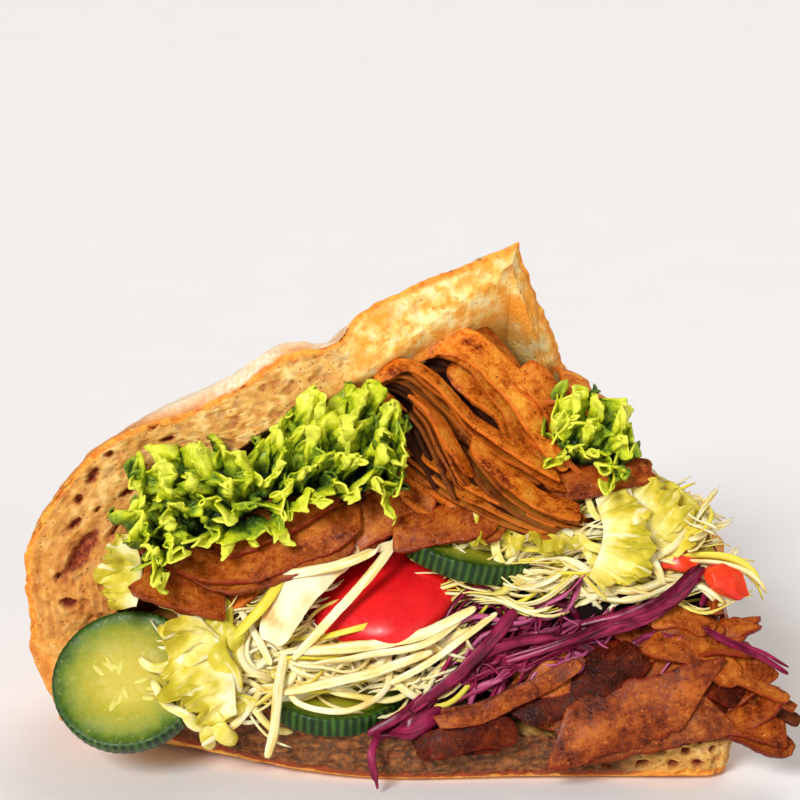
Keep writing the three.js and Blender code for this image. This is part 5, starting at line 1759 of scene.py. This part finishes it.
def cucumber_paint():
    """Pale flesh that turns green towards the peel, pale specks of painted highlight, paler seeds, and a
    striped dark peel.
    """
    paint = Surface(
        "cucumber_skin_and_flesh", Specular_IOR_Level=0.28, Subsurface_Weight=0.06, Subsurface_Scale=0.003
    )
    radius = paint.noted("radius")
    fine, streak = paint.noise(1.2, 3), paint.noise(3.2, 3)
    uneven = paint.sum(radius, paint.swing(streak, 0.2))
    flesh = paint.ramp(
        uneven,
        (0.26, (208, 190, 70)),
        (0.50, (182, 172, 46)),
        (0.72, (142, 148, 32)),
        (0.85, (96, 120, 22)),
        (0.95, (44, 78, 14)),
    )
    # Painted highlight: pale specks on the flesh stand for glints on its wet face.
    flesh = paint.mix(paint.times(paint.window(fine, 0.55, 0.8), 0.3), flesh, (238, 226, 132))
    flesh = paint.mix(paint.noted("seed"), flesh, paint.mix(fine, (214, 202, 78), (234, 220, 120)))
    striped = paint.mix(0.5, streak, paint.noted("rib"))
    peel = paint.ramp(striped, (0.3, (20, 44, 14)), (0.5, (34, 66, 20)), (0.8, (66, 102, 34)))
    colour = paint.mix(paint.window(radius, 0.955, 0.985), flesh, peel)
    rough = paint.ramp(fine, (0.4, 0.34), (0.6, 0.52))
    return paint.finish(colour, rough, paint.bump(fine, 0.15, 0.4))


cucumber = cucumber_paint()
for seed, (name, (normal, middle)) in enumerate(CUCUMBERS.items()):
    parts = [cucumber_slice(name + "_flesh", seed), *cucumber_seeds(name + "_seed", seed)]
    whole = join(name + "_dressed", parts)
    stand_at(whole, normal, middle)
    serve(whole, cucumber, "cucumber", name)

# %% [markdown]
# ## Tomato
# The large piece of tomato is the domed end of a fruit: taut glossy skin above, a cut edge below.
# It starts as a sphere, which is flattened, cut off below, and gently dented. Two chopped pieces
# lie at the right, more orange, with a few flat faces where the knife went.

# %% Tomato
TOMATO_RADIUS, TOMATO_CUT_RADIUS, TOMATO_DOME, TOMATO_BASE = 21.5, 19.3, 9.0, 3.5
TOMATO_CUTS, CUT_DEPTH = 7, 0.72


def tomato_cap(name):
    """The domed end of a tomato, flat at the origin with its skin up."""
    bpy.ops.object.select_all(action="DESELECT")
    bpy.ops.mesh.primitive_uv_sphere_add(segments=96, ring_count=64, radius=1)
    piece = named(name)
    ball = spots(piece)
    radius = np.hypot(ball[:, 0], ball[:, 1])
    angle = np.arctan2(ball[:, 1], ball[:, 0])
    above, below = ball[:, 2] >= 0, np.maximum(0, -ball[:, 2])
    drawn_in = blend(TOMATO_RADIUS, TOMATO_CUT_RADIUS, np.minimum(1, below * 4))
    side = np.where(above, TOMATO_RADIUS, drawn_in)
    height = np.where(above, TOMATO_DOME * ball[:, 2], -TOMATO_BASE * np.minimum(1, below * 2.2))
    wide = side * np.where(above, radius, np.minimum(1, radius * 1.25))
    lobes = 1 + 0.02 * np.cos(5 * angle + 0.6) * radius
    places = np.column_stack([wide * lobes * np.cos(angle), wide * lobes * np.sin(angle), height])
    places += 0.25 * unit(ball) * wander(places, 11, 5)[:, None]
    note(piece, "flesh", step(-1.6, -2.6, places[:, 2]))
    lay_flat(piece, places)
    return piece


def tomato_piece(name, length, seed):
    """A chopped piece: a flattened ball with slices taken off."""
    bpy.ops.object.select_all(action="DESELECT")
    bpy.ops.mesh.primitive_ico_sphere_add(subdivisions=5, radius=1)
    piece = named(name)
    places = spots(piece) * (length, 0.62 * length, 0.3 * length)
    for facing in unit(np.random.default_rng(seed).normal(0, 1, (TOMATO_CUTS, 3))):
        reach = places @ facing
        places -= facing * np.maximum(0, reach - CUT_DEPTH * reach.max())[:, None]
    places += unit(places) * bumps(places, (0.5, 5, seed), (0.3, 2, seed + 1))[:, None]
    note(piece, "flesh", step(-0.5, -1.4, places[:, 2]))
    lay_flat(piece, places)
    return piece


def tomato_pattern():
    """What both tomato surfaces share: slow patches and a fine grain."""
    paint = Shared("tomato_pattern")
    return paint.give(Soft=paint.noise(9, 3), Fine=paint.noise(1.6, 3))


tomato_group = tomato_pattern()


def tomato_paint(name, bright, deep):
    """Taut red skin, and a lighter cut face below."""
    paint = Surface(name, Specular_IOR_Level=0.35, Subsurface_Weight=0.08, Subsurface_Scale=0.003)
    tomato = paint.use(tomato_group)
    skin = paint.ramp(tomato["Soft"], (0.35, deep), (0.6, bright))
    flesh = paint.ramp(tomato["Fine"], (0.35, (214, 60, 30)), (0.6, (240, 120, 62)))
    colour = paint.mix(paint.noted("flesh"), skin, flesh)
    rough = paint.ramp(tomato["Fine"], (0.4, 0.26), (0.65, 0.4))
    return paint.finish(colour, rough, paint.bump(tomato["Soft"], 0.3, 0.4))


cap = tomato_cap("tomato_cap_dressed")
stand_at(cap, (-0.14, -0.3, 0.94), (-6, 26, 46))
serve(cap, tomato_paint("tomato_skin", (240, 30, 34), (214, 20, 28)), "tomato", "tomato_cap")
chopped = tomato_paint("chopped_tomato", (244, 66, 28), (220, 36, 24))
for name, normal, middle, length in [
    ("tomato_piece_1", (0.3, -0.7, 0.6), in_mouth(90, 54, 3), 8.5),
    ("tomato_piece_2", (-0.1, -0.8, 0.6), in_mouth(76, 59, 1), 8),
]:
    piece = tomato_piece(name + "_dressed", length, round(length))
    stand_at(piece, normal, middle)
    serve(piece, chopped, "tomato", name)

# %% [markdown]
# ## Table, light and camera
# The sandwich lies on a plain pale table. The lights are sun lamps, far away, so that they light the
# whole table evenly, and a wide spread makes them soft. The key light comes from the front and left,
# a weak one fills from the right, and one from behind lifts the crust and the table without a
# gloss on the fillings. A dim world keeps the gaps between the fillings dark. The camera looks
# slightly down through a long lens, so that the front edge stays nearly level.

# %% Table, light and camera
bpy.ops.object.select_all(action="DESELECT")
bpy.ops.mesh.primitive_plane_add(size=6)
table = named("table")
table_paint = Surface("pale_table", Roughness=0.55)
speckle = table_paint.noise(40, detail=2)
table_colour = table_paint.mix(speckle, (249, 247, 247), (253, 251, 251))
table.data.materials.append(table_paint.finish(table_colour))


# Each light: the side that it comes from and how high, in degrees, its strength and its spread.
LIGHTS = {
    "key_light": (-28, 35, 2.62, 20),
    "fill_light": (38, 10, 0.62, 50),
    "back_light": (160, 50, 1.0, 40),
}
WORLD_COLOUR, WORLD_STRENGTH = (1, 0.93, 0.84, 1), 0.24


def soft_light(name, turn, rise, strength, spread):
    """A sun lamp that shines from this side towards the sandwich."""
    turn, rise = math.radians(turn), math.radians(rise)
    toward = Vector((math.sin(turn) * math.cos(rise), -math.cos(turn) * math.cos(rise), math.sin(rise)))
    bpy.ops.object.light_add(type="SUN", location=toward)
    light = named(name)
    light.data.energy = strength
    light.data.angle = math.radians(spread)
    light.rotation_euler = toward.to_track_quat("Z", "Y").to_euler()
    light.visible_glossy = name != "back_light"


for name, settings in LIGHTS.items():
    soft_light(name, *settings)
world = bpy.data.worlds.new("studio")
world.use_nodes = True
world.node_tree.nodes["Background"].inputs["Color"].default_value = WORLD_COLOUR
world.node_tree.nodes["Background"].inputs["Strength"].default_value = WORLD_STRENGTH
bpy.context.scene.world = world
bpy.context.scene.view_settings.view_transform = "Standard"

CAMERA_RISE = math.radians(18)
CAMERA_AWAY = 0.875
LENS, SENSOR = 135, 36
AIM_X, AIM_UP, AIM_IN = -1.1, 107.5, 35
look = Vector((0, math.cos(CAMERA_RISE), -math.sin(CAMERA_RISE)))
over = Vector((0, math.sin(CAMERA_RISE), math.cos(CAMERA_RISE)))
aim = (Vector((AIM_X, 0, 0)) + Vector(SHIFT)) * MM + over * AIM_UP * MM + look * AIM_IN * MM
bpy.ops.object.camera_add(location=aim - look * CAMERA_AWAY)
camera = named("camera")
camera.data.lens, camera.data.sensor_width = LENS, SENSOR
camera.rotation_euler = look.to_track_quat("-Z", "Y").to_euler()
bpy.context.scene.camera = camera
print("lights:", len(LIGHTS), "camera at, mm:", [round(x / MM) for x in camera.location])
